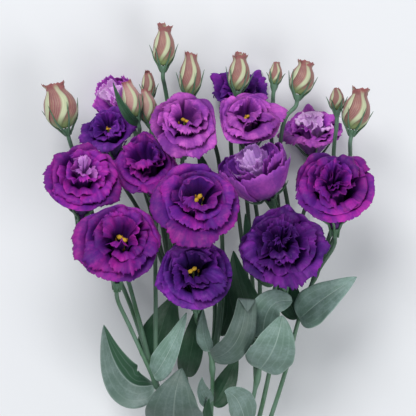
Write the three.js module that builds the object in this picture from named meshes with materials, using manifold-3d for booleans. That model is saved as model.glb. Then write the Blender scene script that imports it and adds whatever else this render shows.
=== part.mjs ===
// A tied bunch of cut double lisianthus, lying on a surface.
// Units are millimetres. +X runs across the bunch, +Y from the cut stems to the
// blooms and +Z up from the surface that the bunch lies on.
import * as THREE from 'three';
import { mergeVertices } from 'three/addons/utils/BufferGeometryUtils.js';
import Module from 'manifold-3d';

const wasm = await Module();
wasm.setup();

// ---------------------------------------------------------------- driving sizes
const CLEARANCE = 0.3;           // between pieces that touch
const PETAL_THICKNESS = 0.8;
const OVERLAP = 0.08;            // how far a petal's edge stands over the next one's
const FLOOR_HEIGHT = 3;          // from a bloom's foot to where its petals part
const LEAF_THICKNESS = 0.9;
const LEAF_FOOT = 1.4;           // half the width of a leaf's foot
const LEAF_TIP = 0.9;            // half the width that a leaf's tip is blunted to
const MAIN_STEM_RADIUS = 2.7;
const BRANCH_RADIUS = 1.3;
const CALYX_RADIUS = 4.6;
const CALYX_LENGTH = 11;
const PRESS_ZONE = 7;            // how far back two touching blooms give way
const WELD = 0.02;               // edges shorter than this close up in a join
const TIE_Y = -105;              // where the tie grips the stems
const TIE_X = 8;
const TIE_WIDTH = 14;
const TIE_THICKNESS = 1.6;
const CUT_END_Y = -185;

// ---------------------------------------------------------------- materials
const finish = (color, roughness) => new THREE.MeshStandardMaterial({
  color, roughness, metalness: 0, side: THREE.DoubleSide,
});
const MAGENTA = finish(0x8e2196, 0.7);
const VIOLET = finish(0x5a1f96, 0.7);
const LILAC = finish(0xa551b6, 0.7);
const BUD_PINK = finish(0xb48a7c, 0.65);
const STIGMA_YELLOW = finish(0xd9c23a, 0.6);
const STEM_GREEN = finish(0x6d9470, 0.55);
const LEAF_GREEN = finish(0x6f8c80, 0.6);
const LEAF_SHADE = finish(0x2f5a3d, 0.6);
const RAFFIA = finish(0xc9b184, 0.85);

// ---------------------------------------------------------------- small helpers
const vec = (point) => new THREE.Vector3(...point);
const mix = (a, b, t) => a + (b - a) * t;

/** A repeatable random number from 0 to 1 for a whole-number seed. */
function draw(seed) {
  const wave = Math.sin(seed * 12.9898) * 43758.5453;
  return wave - Math.floor(wave);
}

/** 0 below low, 1 above high and an eased ramp between them. */
function ease(low, high, value) {
  const t = Math.min(1, Math.max(0, (value - low) / (high - low)));
  return t * t * (3 - 2 * t);
}

/** A point on the cubic Bezier curve of four numbers. */
function bezier(p, t) {
  const s = 1 - t;
  return p[0] * s ** 3 + 3 * p[1] * s * s * t + 3 * p[2] * s * t * t + p[3] * t ** 3;
}

function geometryOf(positions, faces) {
  const geometry = new THREE.BufferGeometry();
  geometry.setAttribute('position', new THREE.Float32BufferAttribute(positions, 3));
  geometry.setIndex(faces);
  return geometry;
}

// ---------------------------------------------------------------- solids
/** A closed blade of even thickness round the surface at(u, v), u -1..1 and v 0..1. */
function blade(at, across, along, thickness) {
  const positions = [];
  const step = 0.01;
  const normalAt = (u, v) => {
    const du = at(u + step, v).sub(at(u - step, v));
    const dv = at(u, Math.min(1, v + step)).sub(at(u, Math.max(0, v - step)));
    return du.cross(dv).normalize();
  };
  for (const side of [0.5, -0.5]) {
    for (let j = 0; j <= along; j++) {
      for (let i = 0; i <= across; i++) {
        const u = (2 * i) / across - 1;
        const v = j / along;
        const point = at(u, v).addScaledVector(normalAt(u, v), side * thickness);
        positions.push(point.x, point.y, point.z);
      }
    }
  }
  const row = across + 1;
  const under = row * (along + 1);
  const faces = [];
  const quad = (a, b, c, d) => faces.push(a, b, c, a, c, d);
  for (let j = 0; j < along; j++) {
    for (let i = 0; i < across; i++) {
      const a = j * row + i;
      const corners = [a, a + 1, a + 1 + row, a + row];
      quad(...corners);
      const [p, q, r, s] = corners.map((corner) => corner + under);
      faces.push(p, r, q, p, s, r);
    }
  }
  const edge = (a, b) => quad(a, a + under, b + under, b);
  for (let i = 0; i < across; i++) {
    edge(i, i + 1);
    edge(along * row + i + 1, along * row + i);
  }
  for (let j = 0; j < along; j++) {
    edge((j + 1) * row, j * row);
    edge(j * row + across, (j + 1) * row + across);
  }
  return geometryOf(positions, faces);
}

/** A closed body lofted through rings of equal count, flat at each end, or pointed
 * or dished at its last end where a point is given. A skin that comes back down
 * beside another is split along the same diagonals as that one. */
function loft(rings, last, comesBack = () => false) {
  const sides = rings[0].length;
  const top = (rings.length - 1) * sides;
  const faces = [];
  for (let k = 0; k < sides; k++) {
    const next = (k + 1) % sides;
    for (let j = 0; j + 1 < rings.length; j++) {
      const a = j * sides;
      const b = a + sides;
      if (comesBack(j)) faces.push(a + k, a + next, b + k, a + next, b + next, b + k);
      else faces.push(a + k, a + next, b + next, a + k, b + next, b + k);
    }
    if (last) faces.push(top + sides, top + k, top + next);
  }
  for (let k = 1; k + 1 < sides; k++) {
    faces.push(0, k + 1, k);
    if (!last) faces.push(top, top + k, top + k + 1);
  }
  const points = last ? [...rings.flat(), last] : rings.flat();
  return geometryOf(points.flatMap((p) => [p.x, p.y, p.z]), faces);
}

/** A stem through the points, with a radius at each station along it, 0..1. */
function stem(points, stations, radii, sides) {
  const curve = new THREE.CatmullRomCurve3(points, false, 'centripetal');
  const across = new THREE.Vector3(1, 0.2, 0.1);
  const rings = stations.map((station, j) => {
    const centre = curve.getPointAt(station);
    const along = curve.getTangentAt(station);
    across.addScaledVector(along, -across.dot(along)).normalize();
    const aside = along.clone().cross(across);
    return Array.from({ length: sides }, (_, k) => {
      const angle = (2 * Math.PI * k) / sides;
      return centre.clone()
        .addScaledVector(across, radii[j] * Math.cos(angle))
        .addScaledVector(aside, radii[j] * Math.sin(angle));
    });
  });
  return loft(rings);
}

/** Even stations from first to last, both included. */
const evenly = (first, last, steps) =>
  Array.from({ length: steps + 1 }, (_, k) => mix(first, last, k / steps));

// ---------------------------------------------------------------- joining
function solidOf(geometry) {
  const bare = geometry.clone();
  bare.deleteAttribute('normal');
  bare.deleteAttribute('uv');
  const welded = mergeVertices(bare, 1e-5);
  return new wasm.Manifold(new wasm.Mesh({
    numProp: 3,
    vertProperties: Float32Array.from(welded.attributes.position.array),
    triVerts: Uint32Array.from(welded.index.array),
    tolerance: WELD,
  }));
}

/** The largest closed shell of a joined mesh: sealed pockets and scraps drop out. */
function largestShell(positions, faces) {
  const parent = Array.from({ length: positions.length / 3 }, (_, i) => i);
  const find = (i) => {
    while (parent[i] !== i) {
      parent[i] = parent[parent[i]];
      i = parent[i];
    }
    return i;
  };
  for (let f = 0; f < faces.length; f += 3) {
    parent[find(faces[f])] = find(faces[f + 1]);
    parent[find(faces[f + 1])] = find(faces[f + 2]);
  }
  const shells = new Map();
  for (let f = 0; f < faces.length; f += 3) {
    const root = find(faces[f]);
    if (!shells.has(root)) shells.set(root, { faces: [], volume: 0 });
    const shell = shells.get(root);
    const corners = [0, 1, 2].map((c) => new THREE.Vector3().fromArray(positions, 3 * faces[f + c]));
    shell.volume += corners[0].dot(corners[1].cross(corners[2]));
    shell.faces.push(faces[f], faces[f + 1], faces[f + 2]);
  }
  return [...shells.values()].sort((a, b) => b.volume - a.volume)[0].faces;
}

/** Joins closed geometries that run into each other into one closed geometry. */
function fuse(geometries) {
  const joined = geometries.map(solidOf).reduce((whole, solid) => whole.add(solid));
  const mesh = joined.simplify(WELD).getMesh();
  return geometryOf(mesh.vertProperties, largestShell(mesh.vertProperties, mesh.triVerts));
}

// ---------------------------------------------------------------- petal layers
// Each layer's petals follow one curve from their root out to the lip. It is given
// as three radii, in parts of the bloom's radius, and three heights, in parts of its
// depth, after a root whose radius is in mm.
const LAYERS = {
  skirt: { root: 4.6, radii: [0.29, 0.66, 1.0], heights: [0.62, 1.2, 0.88], frill: 2.2, waves: 7 },
  ruff: { root: 3.2, radii: [0.15, 0.48, 0.72], heights: [0.66, 1.26, 1.2], frill: 2.0, waves: 6 },
  rosette: { root: 1.9, radii: [0.09, 0.26, 0.42], heights: [0.7, 1.22, 1.4], frill: 1.5, waves: 5 },
  bowl: { root: 4.6, radii: [0.62, 0.95, 0.92], heights: [0.1, 0.62, 1.16], frill: 1.4, waves: 5 },
  lining: { root: 3.0, radii: [0.32, 0.6, 0.58], heights: [0.26, 0.7, 1.24], frill: 1.6, waves: 6 },
};
const PETALS = 5;                // in each layer
const PETAL_ROWS = 3;
const FULL = ['skirt', 'ruff', 'rosette'];
const OPEN = ['skirt', 'ruff'];
const CUP = ['bowl', 'lining'];

// Each bloom: the middle of its rim, the way it faces, its radius and depth, how
// far its base hangs off its axis, how far its throat lies right of and above its
// middle, its turn, its layers and its colour.
const BLOOMS = [
  { name: 'bloom_01', rim: [-105, 200, 105], faces: [0.12, 0.48, 0.87], radius: 36, depth: 30,
    hang: [0, -17, 0], eye: [0, 7], turn: 0.3, layers: FULL, colour: MAGENTA },
  { name: 'bloom_02', rim: [-54, 215, 80], faces: [-0.15, 0.45, 0.88], radius: 33, depth: 27,
    hang: [2, -14, 0], eye: [0, 4], turn: 1.1, layers: OPEN, colour: VIOLET },
  { name: 'bloom_03', rim: [-87, 245, 56], faces: [-0.1, 0.5, 0.86], radius: 25, depth: 24,
    hang: [2, -12, 0], eye: [0, 3], turn: 0.7, layers: OPEN, colour: VIOLET, centre: true },
  { name: 'bloom_04', rim: [-19, 247, 90], faces: [0.08, 0.42, 0.9], radius: 33, depth: 27,
    hang: [0, -9, 0], eye: [0, 7], turn: 0.2, layers: OPEN, colour: LILAC, centre: true },
  { name: 'bloom_05', rim: [35, 252, 82], faces: [0, 0.45, 0.89], radius: 31, depth: 26,
    hang: [0, -14, 0], eye: [-2, 5], turn: 1.5, layers: OPEN, colour: LILAC, centre: true },
  { name: 'bloom_06', rim: [92, 249, 25.4], faces: [-0.1, 0.8, 0.6], radius: 31, depth: 25,
    hang: [0, -8, 0], eye: [0, 2], turn: 0.9, layers: OPEN, colour: LILAC },
  { name: 'bloom_07', rim: [-8, 180, 146], faces: [0.03, 0.35, 0.94], radius: 38, depth: 31,
    hang: [0, -9, 0], eye: [0, 7], turn: 1.57, layers: FULL, colour: MAGENTA, centre: true },
  { name: 'bloom_08', rim: [40, 212, 100], faces: [-0.33, 0.8, 0.5], radius: 31, depth: 27,
    hang: [4, -6, 0], eye: [0, 0], turn: 0.4, layers: CUP, colour: LILAC },
  { name: 'bloom_09', rim: [107, 193, 104], faces: [-0.05, 0.45, 0.89], radius: 39, depth: 32,
    hang: [0, -18, 0], eye: [-2, 8], turn: 0.8, layers: FULL, colour: MAGENTA },
  { name: 'bloom_10', rim: [-75, 146, 134], faces: [0.05, 0.36, 0.93], radius: 39, depth: 31,
    hang: [0, -19, 0], eye: [4, 8], turn: 0.1, layers: FULL, colour: MAGENTA, centre: true },
  { name: 'bloom_11', rim: [-10, 122, 132], faces: [0, 0.26, 0.97], radius: 36, depth: 30,
    hang: [0, -17, 0], eye: [-3, 5], turn: 1.3, layers: FULL, colour: VIOLET, centre: true },
  { name: 'bloom_12', rim: [62, 144, 128], faces: [-0.05, 0.42, 0.91], radius: 40, depth: 31,
    hang: [0, -18, 0], eye: [-2, 5], turn: 0.6, layers: FULL, colour: VIOLET },
  { name: 'bloom_13', rim: [29, 282, 22], faces: [0, 0.72, 0.69], radius: 27, depth: 24,
    hang: [0, -6, 2], eye: [0, 2], turn: 0.5, layers: OPEN, colour: VIOLET, centre: true },
  { name: 'bloom_14', rim: [-82, 275, 21], faces: [-0.45, 0.6, 0.66], radius: 20, depth: 22,
    hang: [0, -4, 2], eye: [0, 0], turn: 0.2, layers: CUP, colour: LILAC },
];

/** Sets up a bloom's own axes: it faces forward, with right across and up along. */
function setUpBloom(bloom, index) {
  bloom.seed = 100 * (index + 1);
  bloom.columns = PETALS * (bloom.radius > 35 ? 4 : 3);
  bloom.forward = vec(bloom.faces).normalize();
  bloom.right = new THREE.Vector3(0, 1, 0).cross(bloom.forward).normalize();
  bloom.up = bloom.forward.clone().cross(bloom.right);
  bloom.heart = vec(bloom.rim).addScaledVector(bloom.forward, -0.3 * bloom.depth);
}
BLOOMS.forEach(setUpBloom);

/** The planes where a bloom presses on its neighbours. */
function pressesOn(bloom) {
  const planes = [];
  for (const other of BLOOMS) {
    if (other === bloom) continue;
    const towards = other.heart.clone().sub(bloom.heart);
    const share = bloom.radius / (bloom.radius + other.radius);
    const point = bloom.heart.clone().addScaledVector(towards, share);
    planes.push({ point, normal: towards.normalize() });
  }
  return planes;
}
for (const bloom of BLOOMS) bloom.presses = pressesOn(bloom);

/** Moves a point of a bloom back from the planes that it presses on. */
function pressed(bloom, point) {
  const reserve = CLEARANCE + PETAL_THICKNESS / 2;
  const give = PRESS_ZONE - reserve;
  for (const plane of bloom.presses) {
    const beyond = point.clone().sub(plane.point).dot(plane.normal);
    if (beyond <= -PRESS_ZONE) continue;
    const kept = -reserve - give * Math.exp(-(beyond + PRESS_ZONE) / give);
    point.addScaledVector(plane.normal, kept - beyond);
  }
  return point;
}

/** A point of a bloom at a radius, an angle and a height over its base. */
function bloomPoint(bloom, radius, angle, height) {
  const below = Math.max(0, 1 - height / bloom.depth);
  const hang = vec(bloom.hang);
  const axis = vec(bloom.rim)
    .addScaledVector(bloom.forward, height - bloom.depth)
    .addScaledVector(hang, below * below);
  const inner = (1 - Math.min(1, radius / bloom.radius) ** 2) * ease(0.1, 0.9, 1 - below);
  axis.addScaledVector(bloom.right, inner * bloom.eye[0]);
  axis.addScaledVector(bloom.up, inner * bloom.eye[1]);
  const along = bloom.forward.clone().addScaledVector(hang, (-2 * below) / bloom.depth).normalize();
  const outwards = new THREE.Vector3()
    .addScaledVector(bloom.right, radius * Math.cos(angle))
    .addScaledVector(bloom.up, radius * Math.sin(angle))
    .applyQuaternion(new THREE.Quaternion().setFromUnitVectors(bloom.forward, along));
  const point = axis.add(outwards);
  return point.clone().lerp(pressed(bloom, point.clone()), ease(2, 10, height));
}

/** The middle of one layer of petals: a ring of points for each row, root to lip. */
function layerRows(bloom, layer, layerIndex) {
  const perPetal = bloom.columns / PETALS;
  const radii = [layer.root / bloom.radius, ...layer.radii];
  const heights = [FLOOR_HEIGHT / bloom.depth, ...layer.heights];
  const at = (column, row) => {
    const local = (column + 2 * layerIndex) % bloom.columns;
    const petal = Math.floor(local / perPetal);
    const u = (2 * (local % perPetal)) / (perPetal - 1) - 1;
    const v = row / PETAL_ROWS;
    const pitch = (2 * Math.PI) / bloom.columns;
    const middle = (petal + 0.5) * perPetal - 0.5;
    const spread = mix(perPetal - 1, perPetal, ease(0.1, 0.7, v)) / 2;
    const angle = bloom.turn + pitch * (middle + u * spread - 2 * layerIndex);
    const length = 0.93 + 0.12 * draw(bloom.seed + 10 * layerIndex + petal);
    const reach = length * v * (1 - 0.1 * Math.abs(u) ** 3);
    const slopeR = bloom.radius * (bezier(radii, reach + 0.01) - bezier(radii, reach));
    const slopeH = bloom.depth * (bezier(heights, reach + 0.01) - bezier(heights, reach));
    const slope = Math.hypot(slopeR, slopeH);
    const frill = layer.frill * v ** 3 * Math.sin(layer.waves * angle + bloom.seed);
    const middleRadius = bloom.radius * bezier(radii, reach);
    const stand = (frill + OVERLAP * middleRadius * u * ease(0, 0.5, v)) / slope;
    const radius = middleRadius + stand * slopeH;
    const height = bloom.depth * bezier(heights, reach) - stand * slopeR;
    return bloomPoint(bloom, radius, angle, height);
  };
  return Array.from({ length: PETAL_ROWS + 1 }, (_, row) =>
    Array.from({ length: bloom.columns }, (_, column) => at(column, row)));
}

/** The rows moved off their middle by half a petal's thickness, outwards or inwards. */
function skinOf(rows, side) {
  return rows.map((row, j) => row.map((point, i) => {
    const below = rows[Math.max(0, j - 1)][i];
    const above = rows[Math.min(rows.length - 1, j + 1)][i];
    const rise = above.clone().sub(below);
    const before = point.clone().sub(row[(i + row.length - 1) % row.length]);
    const after = row[(i + 1) % row.length].clone().sub(point);
    const left = before.cross(rise).normalize();
    const right = after.cross(rise).normalize();
    const open = Math.max(0.3, 1 + left.dot(right));
    return point.clone().addScaledVector(left.add(right), (side * 0.5 * PETAL_THICKNESS) / open);
  }));
}

/** A whole bloom: its skin runs up and down each layer of petals in turn. */
function bloomBody(bloom) {
  const foot = Array.from({ length: bloom.columns }, (_, column) =>
    bloomPoint(bloom, 0.9 * CALYX_RADIUS, bloom.turn + (2 * Math.PI * column) / bloom.columns, 0));
  const rings = [foot];
  bloom.layers.forEach((name, layerIndex) => {
    const rows = layerRows(bloom, LAYERS[name], layerIndex);
    rings.push(...skinOf(rows, 1), ...skinOf(rows, -1).reverse());
  });
  const rowsUp = PETAL_ROWS + 1;
  return loft(rings, null, (band) => band % (2 * rowsUp) > rowsUp);
}

// ---------------------------------------------------------------- bloom centres
const STAMENS = 5;
const CENTRE_RINGS = [
  // height in parts of the centre's, radius, how far every other point stands out
  { height: 0, radius: 1.3, star: 0.1 },
  { height: 0.66, radius: 2.1, star: 0.9 },
  { height: 0.74, radius: 2.3, star: 1.3 },
  { height: 0.8, radius: 0.9, star: 0.1 },
  { height: 0.9, radius: 1.2, star: 0, lobes: 1.2 },
  { height: 0.96, radius: 1.6, star: 0, lobes: 2.4 },
  { height: 1, radius: 0.8, star: 0, lobes: 1.4 },
];

/** The stamens in a ring round the style, with the two-lobed stigma on top. */
function centreBody(bloom) {
  const foot = FLOOR_HEIGHT + CLEARANCE + 0.1;
  const top = bloom.depth * 0.9;
  const rings = CENTRE_RINGS.map(({ height, radius, star, lobes = 0 }) =>
    Array.from({ length: 2 * STAMENS }, (_, k) => {
      const angle = (Math.PI * k) / STAMENS;
      const lobed = lobes * Math.cos(angle) ** 2;
      const reach = radius + lobed + star * (k % 2 ? -0.5 : 1);
      return bloomPoint(bloom, reach, bloom.turn + angle, mix(foot, top, height));
    }));
  return loft(rings);
}

// ---------------------------------------------------------------- buds
// Each bud: its foot and its tip, its radius, and whether its tip has begun to open.
const BUDS = [
  { name: 'bud_01', foot: [-123, 246, 62], tip: [-134, 285, 64], radius: 13.5, open: 1 },
  { name: 'bud_02', foot: [-52, 272, 40], tip: [-53, 297, 40], radius: 5.8, open: 0 },
  { name: 'bud_03', foot: [-62, 256, 66], tip: [-70, 285, 71], radius: 7.8, open: 0.4 },
  { name: 'bud_04', foot: [-50, 251, 56], tip: [-55, 279, 58], radius: 7.6, open: 0.4 },
  { name: 'bud_05', foot: [-39, 301, 50], tip: [-38, 336, 52], radius: 8.8, open: 1 },
  { name: 'bud_06', foot: [-16, 275, 56], tip: [-15, 311, 60], radius: 8.8, open: 0.6 },
  { name: 'bud_07', foot: [26, 279, 57], tip: [28, 311, 60], radius: 8.6, open: 0.8 },
  { name: 'bud_08', foot: [58, 285, 48], tip: [60, 304, 48], radius: 5.4, open: 0.2 },
  { name: 'bud_09', foot: [79, 276, 50], tip: [86, 306, 52], radius: 9.6, open: 1 },
  { name: 'bud_10', foot: [112, 262, 56], tip: [112, 281, 56], radius: 6, open: 0 },
  { name: 'bud_11', foot: [124, 244, 78], tip: [131, 279, 80], radius: 10.8, open: 1 },
];
const BUD_FOLDS = 5;
const BUD_TWIST = 1.5;
const SMALL_BUD = 8;             // smaller buds have their sepals still pressed on
const SEPALS = 5;

function setUpBud(bud) {
  bud.forward = vec(bud.tip).sub(vec(bud.foot)).normalize();
  bud.right = bud.forward.clone().cross(new THREE.Vector3(0, 0, 1)).normalize();
  bud.up = bud.forward.clone().cross(bud.right);
  bud.length = vec(bud.tip).distanceTo(vec(bud.foot));
}
BUDS.forEach(setUpBud);

/** A bud's radius at a height of 0..1: a spindle whose mouth flares as it opens. */
function budRadius(bud, height) {
  const closed = Math.sin(Math.PI * (0.1 + 0.82 * height ** 0.8)) ** 0.8;
  const flared = mix(closed, 0.72, ease(0.62, 1, height));
  return bud.radius * mix(closed, flared, bud.open);
}

function budPoint(bud, radius, angle, height) {
  return vec(bud.foot)
    .addScaledVector(bud.forward, height * bud.length)
    .addScaledVector(bud.right, radius * Math.cos(angle))
    .addScaledVector(bud.up, radius * Math.sin(angle));
}

/** The furled petals: a spindle whose folds wind round it to the mouth. */
function budBody(bud) {
  const heights = [0.01, 0.16, 0.42, 0.76, 1];
  const rings = heights.map((height) => Array.from({ length: 2 * BUD_FOLDS }, (_, k) => {
    const fold = 1 + 0.13 * ease(0, 0.3, height) * (k % 2 ? -1 : 1);
    const angle = (Math.PI * k) / BUD_FOLDS + BUD_TWIST * height;
    return budPoint(bud, budRadius(bud, height) * fold, angle, height);
  }));
  const mouth = mix(1.08, 0.86, bud.open);
  return loft(rings, budPoint(bud, 0, 0, mouth));
}

// ---------------------------------------------------------------- stems
// The stems are six-sided and lie in two rows in the tie, each on a flat side.
const FLAT_SIDE = MAIN_STEM_RADIUS * Math.cos(Math.PI / 6);
const SLOT_PITCH = 2 * MAIN_STEM_RADIUS + CLEARANCE;
const ROW_PITCH = 2 * FLAT_SIDE + CLEARANCE;
const BACK_ROW = TIE_THICKNESS + CLEARANCE + FLAT_SIDE;
const slotsAt = (z) => [-1, 0, 1].map((slot) => [TIE_X + SLOT_PITCH * slot, TIE_Y, z]);
const TIE_SLOTS = { back: slotsAt(BACK_ROW), front: slotsAt(BACK_ROW + ROW_PITCH) };

// Each stem grips the tie in its slot, then runs through its points to a head.
// Its branches leave it at one of those points and end in heads of their own.
const STEMS = [
  { name: 'stem_1', slot: TIE_SLOTS.front[0],
    points: [[-20, -38, 42], [-47, 32, 82], [-66, 75, 91]], head: 'bloom_10',
    branches: [
      { leaves: 1, points: [[-60, 84, 78], [-78, 132, 66]], head: 'bloom_01' },
      { leaves: 1, points: [[-45, 92, 72], [-46, 150, 50]], head: 'bloom_02' },
      { leaves: 1, points: [[-66, 90, 66], [-97, 160, 46], [-114, 215, 50]], head: 'bud_01' },
    ] },
  { name: 'stem_2', slot: TIE_SLOTS.front[1],
    points: [[2, -38, 46], [3, 47, 84], [-4, 70, 92]], head: 'bloom_11',
    branches: [
      { leaves: 1, points: [[9, 82, 82], [9, 116, 86], [-3, 138, 100]], head: 'bloom_07' },
      { leaves: 1, points: [[6, 90, 70], [0, 150, 58], [-16, 195, 52]], head: 'bloom_04' },
      { leaves: 1, points: [[12, 90, 62], [12, 160, 48], [8, 225, 42], [-6, 256, 48]], head: 'bud_06' },
    ] },
  { name: 'stem_3', slot: TIE_SLOTS.back[1],
    points: [[27, -40, 36], [44, 38, 74], [50, 76, 84]], head: 'bloom_12',
    branches: [
      { leaves: 1, points: [[54, 92, 68], [67, 150, 62]], head: 'bloom_08' },
      { leaves: 1, points: [[45, 96, 58], [43, 170, 44]], head: 'bloom_05' },
      { leaves: 1, points: [[36, 96, 50], [26, 180, 36], [20, 240, 40], [24, 264, 50]], head: 'bud_07' },
      { leaves: 1, points: [[40, 90, 40], [36, 170, 15], [30, 225, 10]], head: 'bloom_13' },
    ] },
  { name: 'stem_4', slot: TIE_SLOTS.back[2],
    points: [[36, -40, 26], [54, 38, 58], [66, 110, 36], [86, 175, 17]], head: 'bloom_06',
    branches: [
      { leaves: 2, points: [[62, 180, 30], [56, 240, 32], [57, 270, 42]], head: 'bud_08' },
      { leaves: 2, points: [[72, 160, 42], [63, 225, 44], [68, 256, 52]], head: 'bud_09' },
    ] },
  { name: 'stem_5', slot: TIE_SLOTS.front[2],
    points: [[43, -38, 34], [67, 36, 66], [78, 80, 70], [94, 120, 62]], head: 'bloom_09',
    branches: [
      { leaves: 3, points: [[112, 175, 42], [110, 225, 46]], head: 'bud_10' },
      { leaves: 3, points: [[122, 180, 46], [123, 222, 64]], head: 'bud_11' },
    ] },
  { name: 'stem_6', slot: TIE_SLOTS.back[0],
    points: [[-8, -40, 18], [-22, 40, 34], [-32, 104, 32], [-60, 172, 26]], head: 'bloom_03',
    branches: [
      { leaves: 2, points: [[-50, 170, 12], [-66, 226, 7]], head: 'bloom_14' },
      { leaves: 2, points: [[-29, 180, 26], [-33, 250, 28], [-38, 284, 42]], head: 'bud_05' },
      { leaves: 2, points: [[-38, 170, 20], [-49, 235, 24]], head: 'bud_02' },
      { leaves: 2, points: [[-42, 170, 32], [-53, 214, 38], [-60, 240, 45]], head: 'bud_03' },
      { leaves: 2, points: [[-36, 175, 38], [-43, 220, 38]], head: 'bud_04' },
    ] },
];

/** Where a head sits on its stem, and the way the stem points there. */
function seatOf(name) {
  const bud = BUDS.find((each) => each.name === name);
  if (bud) return { seat: vec(bud.foot), towards: bud.forward.clone(), bud };
  const bloom = BLOOMS.find((each) => each.name === name);
  const seat = bloomPoint(bloom, 0, 0, 0);
  const towards = bloomPoint(bloom, 0, 0, 2).sub(seat).normalize();
  return { seat, towards };
}

/** The narrow sepals that stand round a bud, from its calyx. */
function sepalsOf(bud, seed) {
  const sepals = [];
  for (let k = 0; k < SEPALS; k++) {
    const angle = (2 * Math.PI * (k + 0.4 * draw(seed + k))) / SEPALS;
    const reach = 0.5 + 0.25 * draw(seed + k + 0.3);
    const at = (height, stand) => budPoint(bud, stand, angle, height);
    const clear = (height) => 1.13 * budRadius(bud, height) + CLEARANCE + 0.8;
    const points = [at(-0.12, 2), at(0.04, clear(0.1)), at(0.24, clear(0.26))];
    points.push(at(reach, clear(reach) + 2 * reach));
    sepals.push(stem(points, [0, 0.36, 1], [0.9, 0.9, 0.35], 3));
  }
  return sepals;
}

/** A shoot's path through its points to its head, and the rings of its thin part:
 * even after the first ones, which are given in mm along it. */
function setUpShoot(shoot) {
  const { seat, towards, bud } = seatOf(shoot.head);
  const calyx = bud ? 0.6 * CALYX_LENGTH : CALYX_LENGTH;
  const back = (distance) => seat.clone().addScaledVector(towards, -distance);
  const path = [...shoot.points, back(1.6 * calyx), back(0.5 * calyx), back(CLEARANCE + 0.05)];
  const curve = new THREE.CatmullRomCurve3(path, false, 'centripetal');
  const length = curve.getLength();
  const neck = 1 - calyx / length;
  const first = shoot.firstRings.map((distance) => distance / length);
  const stations = [...first, ...evenly(first.at(-1), neck, shoot.steps).slice(1)];
  const thin = stations.map((station) => ({
    station,
    point: curve.getPointAt(station),
    radius: mix(shoot.thick, BRANCH_RADIUS, ease(0, 0.8 * neck, station)),
  }));
  return { ...shoot, path, neck, thin, bud };
}

/** Sets up a stem's main shoot, from its cut end, and its branches. */
function setUpStem(spec) {
  const [x, , z] = spec.slot;
  const cutEnd = new THREE.Vector3(mix(TIE_X, x, 1.8), CUT_END_Y, z);
  const grip = vec(spec.slot);
  const below = grip.clone().setY(TIE_Y - TIE_WIDTH);
  const above = grip.clone().setY(TIE_Y + TIE_WIDTH);
  const points = spec.points.map(vec);
  const freeEnd = cutEnd.distanceTo(below);
  const main = {
    points: [cutEnd, below, grip, above, ...points],
    head: spec.head,
    thick: MAIN_STEM_RADIUS,
    sides: 6,
    steps: 6,
    firstRings: [0, freeEnd, freeEnd + 1.8 * TIE_WIDTH],
  };
  const branches = spec.branches.map((branch, order) => {
    const node = points[branch.leaves].clone();
    node.lerp(points[branch.leaves - 1], 0.04 * (order + 1));
    return {
      points: [node, ...branch.points.map(vec)],
      head: branch.head,
      thick: 1.3 * BRANCH_RADIUS,
      sides: 4,
      steps: 4,
      firstRings: [0],
    };
  });
  spec.shoots = [main, ...branches].map(setUpShoot);
}
STEMS.forEach(setUpStem);

/** One shoot: a tapering stem that swells into its head's calyx, with its sepals. */
function shootSolids({ bud, path, neck, thin, sides }) {
  const swell = bud ? 0.8 * CALYX_RADIUS : CALYX_RADIUS;
  const stations = [...thin.map((ring) => ring.station), mix(neck, 1, 0.45), 1];
  const radii = [...thin.map((ring) => ring.radius), 0.86 * swell, swell];
  const solids = [stem(path, stations, radii, sides)];
  if (bud && bud.radius > SMALL_BUD) solids.push(...sepalsOf(bud, bud.length));
  return solids;
}

const stemBody = (spec) => fuse(spec.shoots.flatMap(shootSolids));

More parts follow.
